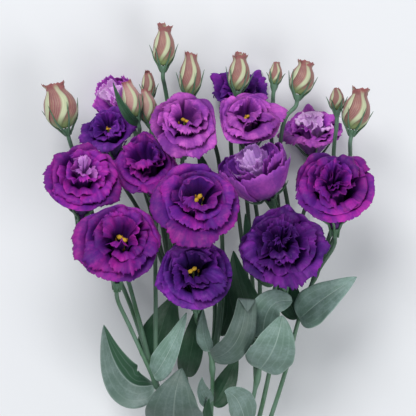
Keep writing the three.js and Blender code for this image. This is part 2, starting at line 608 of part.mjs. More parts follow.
// ---------------------------------------------------------------- leaves
// Each leaf: the stem that it grows on, the place where it leaves it, the point that
// its midrib bends towards, its tip, half its width, the way its upper face looks,
// how deep it cups, how steeply it folds along its midrib, if it does, and its colour.
const LEAVES = [
  { name: 'leaf_01', on: 'stem_1', foot: [-46, 24, 72], bend: [-79, 12, 52], tip: [-89, 77, 82],
    half: 19, looks: [0.05, 0, 1], cup: 0.05, fold: 0.5, colour: LEAF_GREEN },
  { name: 'leaf_02', on: 'stem_1', foot: [-44, 32, 85], bend: [-34, 50, 112], tip: [-18, 89, 108],
    half: 10, looks: [-0.3, 0.1, 0.95], cup: 0.2, colour: LEAF_GREEN },
  { name: 'leaf_03', on: 'stem_1', foot: [-44, 42, 69], bend: [-45, 66, 44], tip: [-29, 102, 56],
    half: 17, looks: [0.2, 0, 0.98], cup: 0.3, colour: LEAF_SHADE },
  { name: 'leaf_04', on: 'stem_1', foot: [-27, -22, 60], bend: [-33, 6, 126], tip: [-22, 42, 104],
    half: 24, looks: [-0.05, 0.3, 0.95], cup: -0.12, colour: LEAF_GREEN },
  { name: 'leaf_05', on: 'stem_2', foot: [1, 54, 90], bend: [-6, 70, 103], tip: [-4, 91, 96],
    half: 6, looks: [-0.4, 0, 0.9], cup: 0.2, colour: LEAF_GREEN },
  { name: 'leaf_06', on: 'stem_2', foot: [6, 47, 90], bend: [30, 55, 116], tip: [32, 101, 108],
    half: 12.5, looks: [0.35, -0.1, 0.93], cup: 0.12, colour: LEAF_GREEN },
  { name: 'leaf_07', on: 'stem_3', foot: [48, 66, 83], bend: [46, 104, 114], tip: [71, 98, 104],
    half: 14, looks: [0, 0.2, 0.98], cup: 0.15, colour: LEAF_GREEN },
  { name: 'leaf_08', on: 'stem_3', foot: [52, 35, 80], bend: [58, 58, 126], tip: [62, 87, 114],
    half: 19, looks: [0.1, 0, 0.99], cup: 0.12, colour: LEAF_GREEN },
  { name: 'leaf_09', on: 'stem_5', foot: [80, 81, 73], bend: [92, 98, 98], tip: [127, 118, 84],
    half: 15, looks: [-0.1, 0.3, 0.95], cup: 0.25, colour: LEAF_GREEN },
  { name: 'leaf_10', on: 'stem_3', foot: [33, -12, 54], bend: [27, 20, 92], tip: [14, 22, 100],
    half: 13, looks: [0.3, 0, 0.95], cup: 0.2, colour: LEAF_GREEN },
  { name: 'leaf_11', on: 'stem_2', foot: [0, 8, 73], bend: [-10, 20, 92], tip: [-5, 34, 100],
    half: 6, looks: [0.6, -0.3, 0.74], cup: 0.4, colour: LEAF_GREEN },
  { name: 'leaf_12', on: 'stem_5', foot: [78, 82, 66], bend: [64, 103, 38], tip: [70, 130, 56],
    half: 10, looks: [0, 0, 1], cup: 0.2, colour: LEAF_SHADE },
  { name: 'leaf_13', on: 'stem_3', foot: [58, 110, 66], bend: [36, 130, 86], tip: [32, 172, 84],
    half: 8, looks: [0, 0, 1], cup: 0.2, colour: LEAF_SHADE },
  { name: 'leaf_14', on: 'stem_3', foot: [46, 70, 78], bend: [26, 100, 70], tip: [22, 140, 72],
    half: 12, looks: [0, 0, 1], cup: 0.25, colour: LEAF_SHADE },
  { name: 'leaf_15', on: 'stem_2', foot: [14, 64, 64], bend: [20, 82, 46], tip: [16, 112, 44],
    half: 7, looks: [0, 0, 1], cup: 0.3, colour: LEAF_SHADE },
  { name: 'leaf_16', on: 'stem_2', foot: [-4, 186, 64], bend: [4, 198, 84], tip: [-10, 228, 66],
    half: 6.5, looks: [0, 0, 1], cup: 0.2, colour: LEAF_SHADE },
  { name: 'leaf_17', on: 'stem_6', foot: [-61, 250, 66], bend: [-72, 254, 94], tip: [-81, 284, 84],
    half: 3, looks: [0, 0, 1], cup: 0.2, colour: LEAF_SHADE },
  { name: 'leaf_18', on: 'stem_6', foot: [-18, 26, 50], bend: [-13, 60, 70], tip: [-6, 98, 64],
    half: 9.5, looks: [0, 0, 1], cup: 0.2, colour: LEAF_SHADE },
  { name: 'leaf_19', on: 'stem_2', foot: [6, 10, 60], bend: [16, 24, 70], tip: [26, 50, 60],
    half: 9, looks: [0, 0, 1], cup: 0.2, colour: LEAF_SHADE },
  { name: 'leaf_20', on: 'stem_2', foot: [-5, -14, 54], bend: [-4, -4, 76], tip: [1, 14, 82],
    half: 5, looks: [0.3, 0, 0.95], cup: 0.3, colour: LEAF_SHADE },
];

/** A leaf's half width at 0..1 of its length: a narrow foot, round lobes, a pointed tip. */
function leafWidth(leaf, v) {
  const outline = Math.sin(Math.PI * v ** 0.62) ** 0.8;
  return leaf.half * outline + mix(LEAF_FOOT, LEAF_TIP, v);
}

/** A point of a leaf, u from edge to edge and v along its midrib. */
function leafPoint(leaf, u, v) {
  const bend = vec(leaf.bend);
  const first = leaf.seat.clone().lerp(bend, v);
  const second = bend.lerp(vec(leaf.tip), v);
  const along = second.clone().sub(first).normalize();
  const side = along.clone().cross(vec(leaf.looks)).normalize();
  const face = side.clone().cross(along);
  const half = leafWidth(leaf, Math.min(1, Math.max(0, v)));
  const wave = 0.08 * half * Math.sin(9 * v + 2.5 * u) * u * u;
  const { fold = 0 } = leaf;
  return first.lerp(second, v)
    .addScaledVector(side, u * half)
    .addScaledVector(face, leaf.cup * half * u * u + fold * half * Math.abs(u) + wave);
}

/** Places along the straight runs between a shoot's rings. */
function placesAlong({ thin }) {
  return thin.slice(1).flatMap((ring, i) => evenly(0, 1, 40).map((t) => ({
    point: thin[i].point.clone().lerp(ring.point, t),
    along: ring.point.clone().sub(thin[i].point).normalize(),
    radius: mix(thin[i].radius, ring.radius, t),
  })));
}

/** Seats a leaf's foot on the surface of the shoot that passes nearest to it. */
function seatLeaf(leaf) {
  const near = vec(leaf.foot);
  const { shoots } = STEMS.find((spec) => spec.name === leaf.on);
  const places = shoots.flatMap(placesAlong);
  places.sort((a, b) => a.point.distanceTo(near) - b.point.distanceTo(near));
  const { point, along, radius } = places[0];
  const out = vec(leaf.bend).sub(point);
  out.addScaledVector(along, -out.dot(along)).normalize();
  const reach = radius + CLEARANCE + 0.5 * LEAF_THICKNESS;
  leaf.seat = point.clone().addScaledVector(out, reach);
  const nearest = Math.min(...[-1, 0, 1].map((u) =>
    leafPoint(leaf, u, 0).sub(point).projectOnPlane(along).length()));
  leaf.seat.addScaledVector(out, Math.max(0, reach - nearest));
}
LEAVES.forEach(seatLeaf);

/** The blade's rows lie closer together towards its foot, where it widens quickly. */
const leafBody = (leaf) =>
  blade((u, v) => leafPoint(leaf, u, v ** 1.25), 4, 4, LEAF_THICKNESS);

// ---------------------------------------------------------------- tie
/** A flat band round the stems, with rounded corners. */
function tieBody() {
  const halfWide = SLOT_PITCH + MAIN_STEM_RADIUS + CLEARANCE;
  const halfHigh = ROW_PITCH / 2 + FLAT_SIDE + CLEARANCE;
  const outline = (grow) => {
    const [x, z, round] = [halfWide + grow, halfHigh + grow, 1.5 + grow];
    const shape = new THREE.Shape();
    shape.moveTo(-x + round, -z);
    shape.lineTo(x - round, -z);
    shape.absarc(x - round, -z + round, round, -Math.PI / 2, 0);
    shape.absarc(x - round, z - round, round, 0, Math.PI / 2);
    shape.absarc(-x + round, z - round, round, Math.PI / 2, Math.PI);
    shape.absarc(-x + round, -z + round, round, Math.PI, 1.5 * Math.PI);
    return shape;
  };
  const shape = outline(TIE_THICKNESS);
  shape.holes.push(outline(0));
  const settings = { depth: TIE_WIDTH, bevelEnabled: false, curveSegments: 2 };
  const band = new THREE.ExtrudeGeometry(shape, settings);
  band.rotateX(Math.PI / 2);
  band.translate(TIE_X, TIE_Y + TIE_WIDTH / 2, halfHigh + TIE_THICKNESS);
  return band;
}

// ---------------------------------------------------------------- the bunch
const bunch = new THREE.Group();
function place(name, geometry, material) {
  const mesh = new THREE.Mesh(geometry, material);
  mesh.name = name;
  bunch.add(mesh);
}
for (const bloom of BLOOMS) {
  place(bloom.name, bloomBody(bloom), bloom.colour);
  if (bloom.centre) place(`${bloom.name}_centre`, centreBody(bloom), STIGMA_YELLOW);
}
for (const bud of BUDS) place(bud.name, budBody(bud), BUD_PINK);
for (const spec of STEMS) place(spec.name, stemBody(spec), STEM_GREEN);
for (const leaf of LEAVES) place(leaf.name, leafBody(leaf), leaf.colour);
place('tie', tieBody(), RAFFIA);

// The origin is under the middle of the bunch, on the surface that it lies on.
const box = new THREE.Box3().setFromObject(bunch, true);
bunch.position.set(-(box.min.x + box.max.x) / 2, -(box.min.y + box.max.y) / 2, -box.min.z);

const model = new THREE.Group();
model.add(bunch);
export default model;
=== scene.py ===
"""Dresses a laid-down bunch of cut double lisianthus for rendering.

Sizes are in millimetres, in the bunch's own axes: +X runs across it, +Y from the
cut stems to the blooms and +Z up from the surface.  Meshes are stored in metres.
"""
import logging
import math
from dataclasses import dataclass, field
from enum import Enum
from typing import Sequence

import bpy
import numpy as np
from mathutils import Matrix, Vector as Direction
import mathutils


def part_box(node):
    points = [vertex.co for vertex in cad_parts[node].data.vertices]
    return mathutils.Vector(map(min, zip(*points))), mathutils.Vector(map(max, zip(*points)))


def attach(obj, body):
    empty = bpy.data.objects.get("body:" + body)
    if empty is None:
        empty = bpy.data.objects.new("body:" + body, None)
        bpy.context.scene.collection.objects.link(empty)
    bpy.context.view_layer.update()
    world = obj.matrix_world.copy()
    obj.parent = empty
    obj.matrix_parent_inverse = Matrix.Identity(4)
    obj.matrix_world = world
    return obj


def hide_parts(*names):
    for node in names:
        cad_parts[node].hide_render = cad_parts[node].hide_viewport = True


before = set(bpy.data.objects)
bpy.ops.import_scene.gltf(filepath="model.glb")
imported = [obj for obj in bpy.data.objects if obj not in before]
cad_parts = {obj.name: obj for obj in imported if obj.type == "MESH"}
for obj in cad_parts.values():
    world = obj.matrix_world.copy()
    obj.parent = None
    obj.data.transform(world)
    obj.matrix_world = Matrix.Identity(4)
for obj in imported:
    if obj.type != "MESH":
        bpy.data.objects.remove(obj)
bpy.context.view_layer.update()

LOG = logging.getLogger("lisianthus")
Array = np.ndarray
Sheet = tuple[Array, Array, Array]      # a grid of points, and its u and v
Vector = tuple[float, float, float]
Colour = tuple[float, float, float]
Socket = bpy.types.NodeSocket
Material = bpy.types.Material
Piece = bpy.types.Object

MILLIMETRE = 0.001
TURN = 2 * math.pi
CLEARANCE = 0.3
BLOOM_FLOOR = 3.0                # from a bloom's foot to where its petals part
CALYX_RADIUS = 4.6
CALYX_LENGTH = 11.0
MAIN_STEM_RADIUS = 2.7
BRANCH_RADIUS = 1.8
SOFT_REST = 0.001                # how close to the surface a piece settles softly, in m
TIE_X, TIE_Y = 8.0, -105.0
TIE_WIDTH = 14.0
TIE_THICKNESS = 1.6
CUT_END_Y = -185.0
FLAT_SIDE = MAIN_STEM_RADIUS * math.cos(math.pi / 6)
SLOT_PITCH = 2 * MAIN_STEM_RADIUS + CLEARANCE
ROW_PITCH = 2 * FLAT_SIDE + CLEARANCE
BACK_ROW = TIE_THICKNESS + CLEARANCE + FLAT_SIDE
UPRIGHT: Vector = (0.0, 1.0, 0.0)        # the way that the stems run
UPWARDS: Vector = (0.0, 0.0, 1.0)


# ------------------------------------------------------------------ small helpers
def unit(vectors: Array) -> Array:
    """Vectors scaled to length one."""
    return vectors / np.maximum(np.linalg.norm(vectors, axis=-1, keepdims=True), 1e-9)


def mix(a: float, b: float, t: Array | float) -> Array | float:
    """The value a share t of the way from a to b."""
    return a + (b - a) * t


def ease(low: float, high: float, value: Array | float) -> Array | float:
    """An eased ramp: 0 below low and 1 above high."""
    t = np.clip((value - low) / (high - low), 0.0, 1.0)
    return t * t * (3 - 2 * t)


def draw(seed: float) -> float:
    """A repeatable random number from 0 to 1 for a seed."""
    wave = math.sin(seed * 12.9898) * 43758.5453
    return wave - math.floor(wave)


def bezier(values: Sequence[float], t: Array) -> Array:
    """A point on the cubic Bezier curve of four numbers."""
    s = 1 - t
    return (values[0] * s ** 3 + 3 * values[1] * s * s * t
            + 3 * values[2] * s * t * t + values[3] * t ** 3)


def bump(place: Array, width: float) -> Array:
    """A round hump of height 1 over 0."""
    return np.exp(-(place / width) ** 2)


def round_turn(sides: int) -> Array:
    """Angles at even steps round a whole turn."""
    return np.linspace(0, TURN, sides, endpoint=False)


def fifth(k: int, shift: float) -> float:
    """The k-th of five angles round a turn, moved on by a share of a step."""
    return TURN * (k + shift) / 5


def spread(*values: Array | float) -> list[Array]:
    """Values in one shape, with one axis more for x, y and z."""
    return [np.asarray(value, float)[..., None] for value in np.broadcast_arrays(*values)]


def surface_grid(across: int, along: int) -> tuple[Array, Array]:
    """The places u from -1 to 1 across a sheet and v from 0 to 1 along it."""
    return np.meshgrid(np.linspace(-1, 1, across + 1), np.linspace(0, 1, along + 1))


def frame_offset() -> Array:
    """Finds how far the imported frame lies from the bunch's own axes, in millimetres.

    Returns:
        The offset, read from where the tie is.
    """
    low, high = (np.array(corner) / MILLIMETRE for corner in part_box("tie"))
    middle = (low + high) / 2
    return np.array([middle[0] - TIE_X, middle[1] - TIE_Y, low[2]])


OFFSET = frame_offset()


def placed(points: Array) -> Array:
    """Points in millimetres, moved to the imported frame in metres."""
    return (np.asarray(points, float) + OFFSET) * MILLIMETRE


def add_object(name: str, data: bpy.types.ID) -> Piece:
    """Adds an object to the scene.

    Args:
        name: The object's name.
        data: Its mesh, light or camera.

    Returns:
        The object, at the origin.
    """
    made = bpy.data.objects.new(name, data)
    bpy.context.scene.collection.objects.link(made)
    return made


def mark_points(mesh: bpy.types.Mesh, marks: dict[str, Array]) -> None:
    """Gives a mesh's points named values.

    Args:
        mesh: The mesh.
        marks: The values by name, one for each point.
    """
    for name, values in marks.items():
        mark = mesh.attributes.new(name, "FLOAT", "POINT")
        mark.data.foreach_set("value", values.astype(np.float32))


# ------------------------------------------------------------------ meshes
class Draft:
    """Collects closed shells and turns them into one mesh object."""

    def __init__(self, name: str) -> None:
        """Starts an empty draft.

        Args:
            name: The piece's name.
        """
        self.name, self.count = name, 0
        self.points: list[Array] = []
        self.faces: list[Array] = []
        self.uvs: list[Array] = []
        self.marks: dict[str, list[Array]] = {"tone": [], "back": []}

    def _take(self, points: Array, faces: list[Array], uv: Array, tone: float, back: Array) -> None:
        """Adds points with their faces and marks.

        Args:
            points: The new points, one a row.
            faces: Index arrays of quads or triangles, from 0.
            uv: The map coordinates of each point.
            tone: How light the shell is, 0 to 1.
            back: 1 on a shell's outer side and 0 on its inner side.
        """
        self.points.append(points)
        self.faces.extend(part + self.count for part in faces)
        self.uvs.append(uv)
        self.marks["tone"].append(np.full(len(points), tone))
        self.marks["back"].append(back)
        self.count += len(points)

    def shell(self, sheet: Sheet, thickness: float, thinning: float, sharpness: int,
              tone: float) -> None:
        """Adds a thin closed shell round a sheet of points.

        Args:
            sheet: The middle points, rows along and columns across, and their u and v.
            thickness: The thickness at the middle.
            thinning: The share of the thickness that the edges lose.
            sharpness: How close to the edges it thins.
            tone: How light the shell is, 0 to 1.
        """
        grid, u, v = sheet
        rows, columns = grid.shape[:2]
        thick = thickness * (1 - thinning * np.maximum(np.abs(u), v) ** sharpness)
        normal = unit(np.cross(np.gradient(grid, axis=1), np.gradient(grid, axis=0)))
        half = 0.5 * thick[..., None] * normal
        points = np.concatenate([(grid + half).reshape(-1, 3), (grid - half).reshape(-1, 3)])
        size = rows * columns
        index = np.arange(size).reshape(rows, columns)
        a, b, c, d = index[:-1, :-1], index[:-1, 1:], index[1:, 1:], index[1:, :-1]
        over = np.stack([a, b, c, d], -1).reshape(-1, 4)
        under = np.stack([a, d, c, b], -1).reshape(-1, 4) + size
        rim = np.concatenate([index[0, :], index[1:, -1], index[-1, -2::-1], index[-2:0:-1, 0]])
        after = np.roll(rim, -1)
        side = np.stack([rim, rim + size, after + size, after], -1)
        uv = np.tile(np.stack([(u + 1) / 2, v], -1).reshape(-1, 2), (2, 1))
        self._take(points, [over, under, side], uv, tone, np.repeat([1.0, 0.0], size))

    def lathe(self, rings: Array, tone: float) -> None:
        """Adds a closed body through rings of points, with a pole at each end.

        Args:
            rings: The rings, one a row, running round counter-clockwise from above.
            tone: How light the body is, 0 to 1.
        """
        rows, sides = rings.shape[:2]
        poles = np.stack([rings[0].mean(0), rings[-1].mean(0)])
        points = np.concatenate([rings.reshape(-1, 3), poles])
        index = np.arange(rows * sides).reshape(rows, sides)
        after = np.roll(index, -1, axis=1)
        quads = np.stack([index[:-1], after[:-1], after[1:], index[1:]], -1).reshape(-1, 4)
        foot = np.stack([after[0], index[0], np.full(sides, rows * sides)], -1)
        top = np.stack([index[-1], after[-1], np.full(sides, rows * sides + 1)], -1)
        v = np.repeat(np.linspace(0, 1, rows), sides)
        u = np.tile(np.linspace(0, 1, sides, endpoint=False), rows)
        uv = np.concatenate([np.stack([u, v], -1), [[0.5, 0], [0.5, 1]]])
        self._take(points, [quads, foot, top], uv, tone, np.ones(len(points)))

    def finish(self, material: Material) -> Piece:
        """Builds the object.

        Args:
            material: The finish of the whole piece.

        Returns:
            The new object, at the origin, in metres.
        """
        mesh = bpy.data.meshes.new(self.name)
        points = placed(np.concatenate(self.points))
        corners = np.concatenate([part.ravel() for part in self.faces]).astype(np.int32)
        sizes = np.concatenate([np.full(len(part), part.shape[1]) for part in self.faces])
        starts = np.concatenate([[0], np.cumsum(sizes)[:-1]]).astype(np.int32)
        mesh.vertices.add(len(points))
        mesh.vertices.foreach_set("co", points.ravel())
        mesh.loops.add(len(corners))
        mesh.loops.foreach_set("vertex_index", corners)
        mesh.polygons.add(len(starts))
        mesh.polygons.foreach_set("loop_start", starts)
        mesh.polygons.foreach_set("use_smooth", np.ones(len(starts), bool))
        layer = mesh.uv_layers.new(name="UVMap")
        layer.data.foreach_set("uv", np.concatenate(self.uvs)[corners].ravel())
        mark_points(mesh, {name: np.concatenate(parts) for name, parts in self.marks.items()})
        mesh.update(calc_edges=True)
        mesh.validate()
        mesh.materials.append(material)
        return add_object(self.name, mesh)


@dataclass
class Strand:
    """A path with a radius at each of its points, or one for all of them."""

    points: Array
    radii: Array | float
    closed: bool = False
    tone: float = 0.5


class Path:
    """A smooth centripetal curve through points, read at even lengths along it."""

    DIVISIONS = 200

    def __init__(self, points: Sequence[Array]) -> None:
        """Measures the curve.

        Args:
            points: The points that it runs through.
        """
        self.knots = np.array(points, float)
        self.places = np.linspace(0, 1, self.DIVISIONS + 1)
        steps = np.linalg.norm(np.diff(self._at(self.places), axis=0), axis=1)
        self.lengths = np.concatenate([[0], np.cumsum(steps)])

    @property
    def length(self) -> float:
        """The length of the curve."""
        return float(self.lengths[-1])

    def _at(self, places: Array) -> Array:
        """Reads the curve at places in the numbering of its points.

        Args:
            places: Places from 0 to 1.

        Returns:
            The points there.
        """
        knots = np.concatenate([[2 * self.knots[0] - self.knots[1]], self.knots,
                                [2 * self.knots[-1] - self.knots[-2]]])
        spans = len(self.knots) - 1
        first = np.minimum((places * spans).astype(int), spans - 1)
        t = (places * spans - first)[:, None]
        p0, p1, p2, p3 = (knots[first + k] for k in range(4))
        gaps = [np.linalg.norm(b - a, axis=1)[:, None] ** 0.5
                for a, b in ((p0, p1), (p1, p2), (p2, p3))]
        d0, d1, d2 = (np.maximum(gap, 1e-3) for gap in gaps)
        t1 = ((p1 - p0) / d0 - (p2 - p0) / (d0 + d1) + (p2 - p1) / d1) * d1
        t2 = ((p2 - p1) / d1 - (p3 - p1) / (d1 + d2) + (p3 - p2) / d2) * d1
        c2 = -3 * p1 + 3 * p2 - 2 * t1 - t2
        c3 = 2 * p1 - 2 * p2 + t1 + t2
        return p1 + t1 * t + c2 * t * t + c3 * t ** 3

    def at(self, stations: Array) -> Array:
        """The points at stations from 0 to 1 of the length."""
        return self._at(np.interp(np.asarray(stations) * self.length, self.lengths, self.places))


# ------------------------------------------------------------------ node helpers
class Graph:
    """Adds nodes to one tree with short calls."""

    def __init__(self, tree: bpy.types.NodeTree) -> None:
        """Keeps the tree."""
        self.tree = tree

    def feed(self, node: bpy.types.Node, values: dict[str | int, object]) -> None:
        """Links or sets a node's inputs.

        Args:
            node: The node.
            values: A socket to link or a value for each named input.
        """
        for name, value in values.items():
            if isinstance(value, Socket):
                self.tree.links.new(value, node.inputs[name])
            else:
                node.inputs[name].default_value = value

    def node(self, kind: str, inputs: dict[str | int, object] | None = None,
             **settings: object) -> bpy.types.Node:
        """Adds a node.

        Args:
            kind: The node's type name.
            inputs: A socket to link or a value for each named input.
            settings: Values of the node's own properties.

        Returns:
            The new node.
        """
        made = self.tree.nodes.new(kind)
        for name, value in settings.items():
            setattr(made, name, value)
        self.feed(made, inputs or {})
        return made

    def out(self, kind: str, inputs: dict[str | int, object] | None = None,
            **settings: object) -> Socket:
        """The first output of a new node."""
        return self.node(kind, inputs, **settings).outputs[0]

    def math(self, operation: str, a: Socket | float, b: Socket | float = 0.0) -> Socket:
        """The result of a sum on one or two values."""
        return self.out("ShaderNodeMath", {0: a, 1: b}, operation=operation)

    def times(self, a: Socket, b: Socket | float) -> Socket:
        """The product of two values."""
        return self.math("MULTIPLY", a, b)

    def split(self, vector: Socket) -> list[Socket]:
        """The three parts of a vector."""
        return list(self.node("ShaderNodeSeparateXYZ", {0: vector}).outputs)

    def join(self, x: Socket | float, y: Socket | float, z: Socket | float) -> Socket:
        """The vector of three values."""
        return self.out("ShaderNodeCombineXYZ", {0: x, 1: y, 2: z})

    def ramp(self, value: Socket, low: float, high: float, start: float = 0.0,
             end: float = 1.0) -> Socket:
        """A value mapped smoothly from low..high to start..end."""
        inputs = {"Value": value, 1: low, 2: high, 3: start, 4: end}
        return self.out("ShaderNodeMapRange", inputs, interpolation_type="SMOOTHSTEP")

    def noise(self, vector: Socket, scale: Socket | float, detail: float) -> Socket:
        """Noise from 0 to 1 at a scale per metre or per map unit."""
        return self.out("ShaderNodeTexNoise", {"Vector": vector, "Scale": scale, "Detail": detail})

    def blend(self, share: Socket | float, a: Socket | Colour, b: Socket | Colour,
              mode: str = "MIX") -> Socket:
        """Lays a colour over another.

        Args:
            share: The share of the second colour.
            a: The first colour.
            b: The second colour.
            mode: How the second is laid on the first.

        Returns:
            The mixed colour.
        """
        a, b = (value if isinstance(value, Socket) else (*value, 1.0) for value in (a, b))
        made = self.node("ShaderNodeMix", {0: share, 6: a, 7: b}, data_type="RGBA",
                         blend_type=mode)
        return made.outputs[2]

    def coats(self, colour: Socket | Colour,
              *coats: tuple[Socket | float, Socket | Colour]) -> Socket:
        """Lays coats over a colour, one after another.

        Args:
            colour: The colour underneath.
            coats: The share and the colour of each coat.

        Returns:
            The mixed colour.
        """
        for share, coat in coats:
            colour = self.blend(share, colour, coat)
        return colour


def new_group(name: str, kind: str, inputs: dict[str, str], outputs: dict[str, str],
              ) -> tuple[Graph, Sequence[Socket], bpy.types.Node]:
    """Starts a node group with named sockets.

    Args:
        name: The group's name.
        kind: The type of its tree.
        inputs: The name and type of each input.
        outputs: The name and type of each output.

    Returns:
        The graph, what comes in and the output node.
    """
    tree = bpy.data.node_groups.new(name, kind)
    for direction, sockets in (("INPUT", inputs), ("OUTPUT", outputs)):
        for label, form in sockets.items():
            tree.interface.new_socket(label, in_out=direction, socket_type="NodeSocket" + form)
    graph = Graph(tree)
    return graph, graph.node("NodeGroupInput").outputs, graph.node("NodeGroupOutput")


def mottle_group() -> bpy.types.NodeTree:
    """Builds the group that lays soft blotches and fine specks over a surface.

    Returns:
        The group, with a mask and a height.
    """
    graph, given, end = new_group("Mottle", "ShaderNodeTree",
                                  {"Vector": "Vector", "Scale": "Float"},
                                  {"Mask": "Float", "Height": "Float"})
    wide = graph.noise(given["Vector"], given["Scale"], 3.0)
    fine = graph.noise(given["Vector"], graph.times(given["Scale"], 9.0), 2.0)
    both = graph.math("ADD", graph.times(wide, 0.75), graph.times(fine, 0.25))
    graph.feed(end, {"Mask": graph.ramp(both, 0.36, 0.64), "Height": fine})
    return graph.tree


def vein_group() -> bpy.types.NodeTree:
    """Builds the group that draws veins fanning out along a petal or a leaf.

    Returns:
        The group, with a mask that is 1 on a vein.
    """
    graph, given, end = new_group("Veins", "ShaderNodeTree", {
        "UV": "Vector", "Count": "Float", "Sharpness": "Float", "Wander": "Float"},
        {"Mask": "Float"})
    bend = graph.math("SUBTRACT", graph.noise(given["UV"], 6.0, 1.0), 0.5)
    across = graph.math("ADD", graph.split(given["UV"])[0], graph.times(bend, given["Wander"]))
    angle = graph.times(graph.times(across, given["Count"]), math.pi)
    line = graph.math("ABSOLUTE", graph.math("COSINE", angle))
    graph.feed(end, {"Mask": graph.math("POWER", line, given["Sharpness"])})
    return graph.tree


class Groups:
    """The shader node groups that the finishes share."""

    def __init__(self) -> None:
        """Builds each group once."""
        self.mottle, self.veins = mottle_group(), vein_group()


class Surface(Graph):
    """A new material's tree, with the readings that every finish starts from."""

    def __init__(self, name: str, groups: Groups) -> None:
        """Makes the material and reads its coordinates and tone.

        Args:
            name: The material's name.
            groups: The shared shader groups.
        """
        self.material = bpy.data.materials.new(name)
        self.material.use_nodes = True
        super().__init__(self.material.node_tree)
        self.groups = groups
        coordinates = self.node("ShaderNodeTexCoord").outputs
        self.place, self.uv = coordinates["Object"], coordinates["UV"]
        self.across, self.along, _ = self.split(self.uv)
        self.tone = self.mark("tone")

    def mark(self, name: str) -> Socket:
        """A named mark of the mesh, from 0 to 1."""
        return self.node("ShaderNodeAttribute", attribute_name=name).outputs["Fac"]

    def mottle(self, scale: float, vector: Socket | None = None,
               stretch: Vector | None = None) -> tuple[Socket, Socket]:
        """Lays the blotches of the shared group.

        Args:
            scale: How many there are in a metre, or in a unit of the vector.
            vector: What they are laid over, or the piece's place where it is None.
            stretch: How they are drawn out, or None.

        Returns:
            Their mask and their height.
        """
        vector = self.place if vector is None else vector
        if stretch:
            vector = self.out("ShaderNodeMapping", {"Vector": vector, "Scale": stretch})
        made = self.node("ShaderNodeGroup", node_tree=self.groups.mottle)
        self.feed(made, {"Vector": vector, "Scale": scale})
        return made.outputs["Mask"], made.outputs["Height"]

    def veins(self, count: float, sharpness: float, wander: float) -> Socket:
        """Draws the veins of the shared group along the piece's own map.

        Args:
            count: How many there are.
            sharpness: How thin they are.
            wander: How far they bend.

        Returns:
            Their mask.
        """
        made = self.node("ShaderNodeGroup", node_tree=self.groups.veins)
        self.feed(made, {"UV": self.uv, "Count": count, "Sharpness": sharpness,
                         "Wander": wander})
        return made.outputs["Mask"]

    def toned(self, colour: Socket, dark: float, light: float) -> Socket:
        """A colour made darker or lighter by the tone of its shell."""
        grey = self.ramp(self.tone, 0.0, 1.0, dark, light)
        return self.blend(1.0, colour, self.join(grey, grey, grey), "MULTIPLY")

    def wear(self, colour: Socket, grain: Socket, dullness: tuple[float, float],
             height: Socket, depth: float,
             constants: dict[str, object] | None = None) -> Material:
        """Feeds the shader.

        Args:
            colour: The base colour.
            grain: What the roughness follows.
            dullness: The lowest and the highest roughness.
            height: The height that stands for fine relief.
            depth: How deep that relief is, in metres.
            constants: Numbers and colours for the shader's own sockets.

        Returns:
            The finished material.
        """
        relief = {"Height": height, "Distance": depth, "Strength": 1.0}
        self.feed(self.tree.nodes["Principled BSDF"], {
            "Base Color": colour, "Roughness": self.ramp(grain, 0.3, 0.7, *dullness),
            "Normal": self.out("ShaderNodeBump", relief), **(constants or {})})
        return self.material


# ------------------------------------------------------------------ finishes
@dataclass(frozen=True)
class Coating:
    """What every finish has: its material's name and a slot's name."""

    name: str
    slot: str


@dataclass(frozen=True)
class PetalFinish(Coating):
    """Velvety petals: a dark throat deepened with painted shade, a rich face, a brighter lip that
    is partly a painted highlight, and a paler back.
    """

    throat_and_shade: Colour
    face: Colour
    # The lip colour is partly the petal's own and partly a painted highlight on the rolled lips.
    lip: Colour
    shade: Colour
    back: Colour
    paler: Colour = (0.54, 0.27, 0.62)
    blotches: float = 34.0           # in a metre, as are the grains
    grains: float = 260.0
    streaks: float = 1.6             # in a petal
    veins: float = 15.0
    relief: float = 0.00015

    def build(self, groups: Groups) -> Material:
        """Builds the material.

        Args:
            groups: The shared shader groups.

        Returns:
            The material.
        """
        s = Surface(self.name, groups)
        blotch, height = s.mottle(self.blotches)
        grain, _ = s.mottle(self.grains)
        each = s.join(s.times(s.across, 5.0), s.along, s.times(s.tone, 40.0))
        streak, _ = s.mottle(self.streaks, each)
        vein = s.veins(self.veins, 5.0, 0.09)
        # Painted highlight: the outer part of the face turns to the brighter lip colour, partly the
        # petal's own lighter lip.
        lit = s.times(s.ramp(s.along, 0.5, 0.96), s.ramp(blotch, 0.0, 1.0, 1.0, 0.25))
        # The face darkens towards its root in the throat colour: partly the petal's own dark
        # throat, partly painted shade that deepens the gaps between rings.
        deep = s.ramp(s.along, 0.3, 0.76, 1.0, 0.0)
        face = s.coats(self.face, (blotch, self.shade), (lit, self.lip), (deep, self.throat_and_shade))
        # The back darkens towards its root the same way: partly its own colour, partly painted
        # shade.
        root = s.ramp(s.along, 0.1, 0.6, 0.9, 0.0)
        rim = s.times(s.ramp(s.along, 0.7, 1.0), 0.5)
        back = s.coats(self.back, (root, self.throat_and_shade), (rim, self.lip))
        colour = s.coats(face, (s.mark("back"), back), (s.times(grain, 0.3), self.shade),
                         (s.times(streak, 0.55), self.shade), (s.times(vein, 0.1), self.shade),
                         (s.ramp(s.tone, 0.95, 1.6, 0.0, 0.75), self.paler))
        relief = s.math("ADD", height, s.times(vein, -0.5))
        return s.wear(s.toned(colour, 0.68, 1.45), height, (0.5, 0.72), relief, self.relief, {
            "Sheen Weight": 0.12, "Sheen Roughness": 0.4, "Sheen Tint": (*self.lip, 1.0),
            "Specular IOR Level": 0.22})


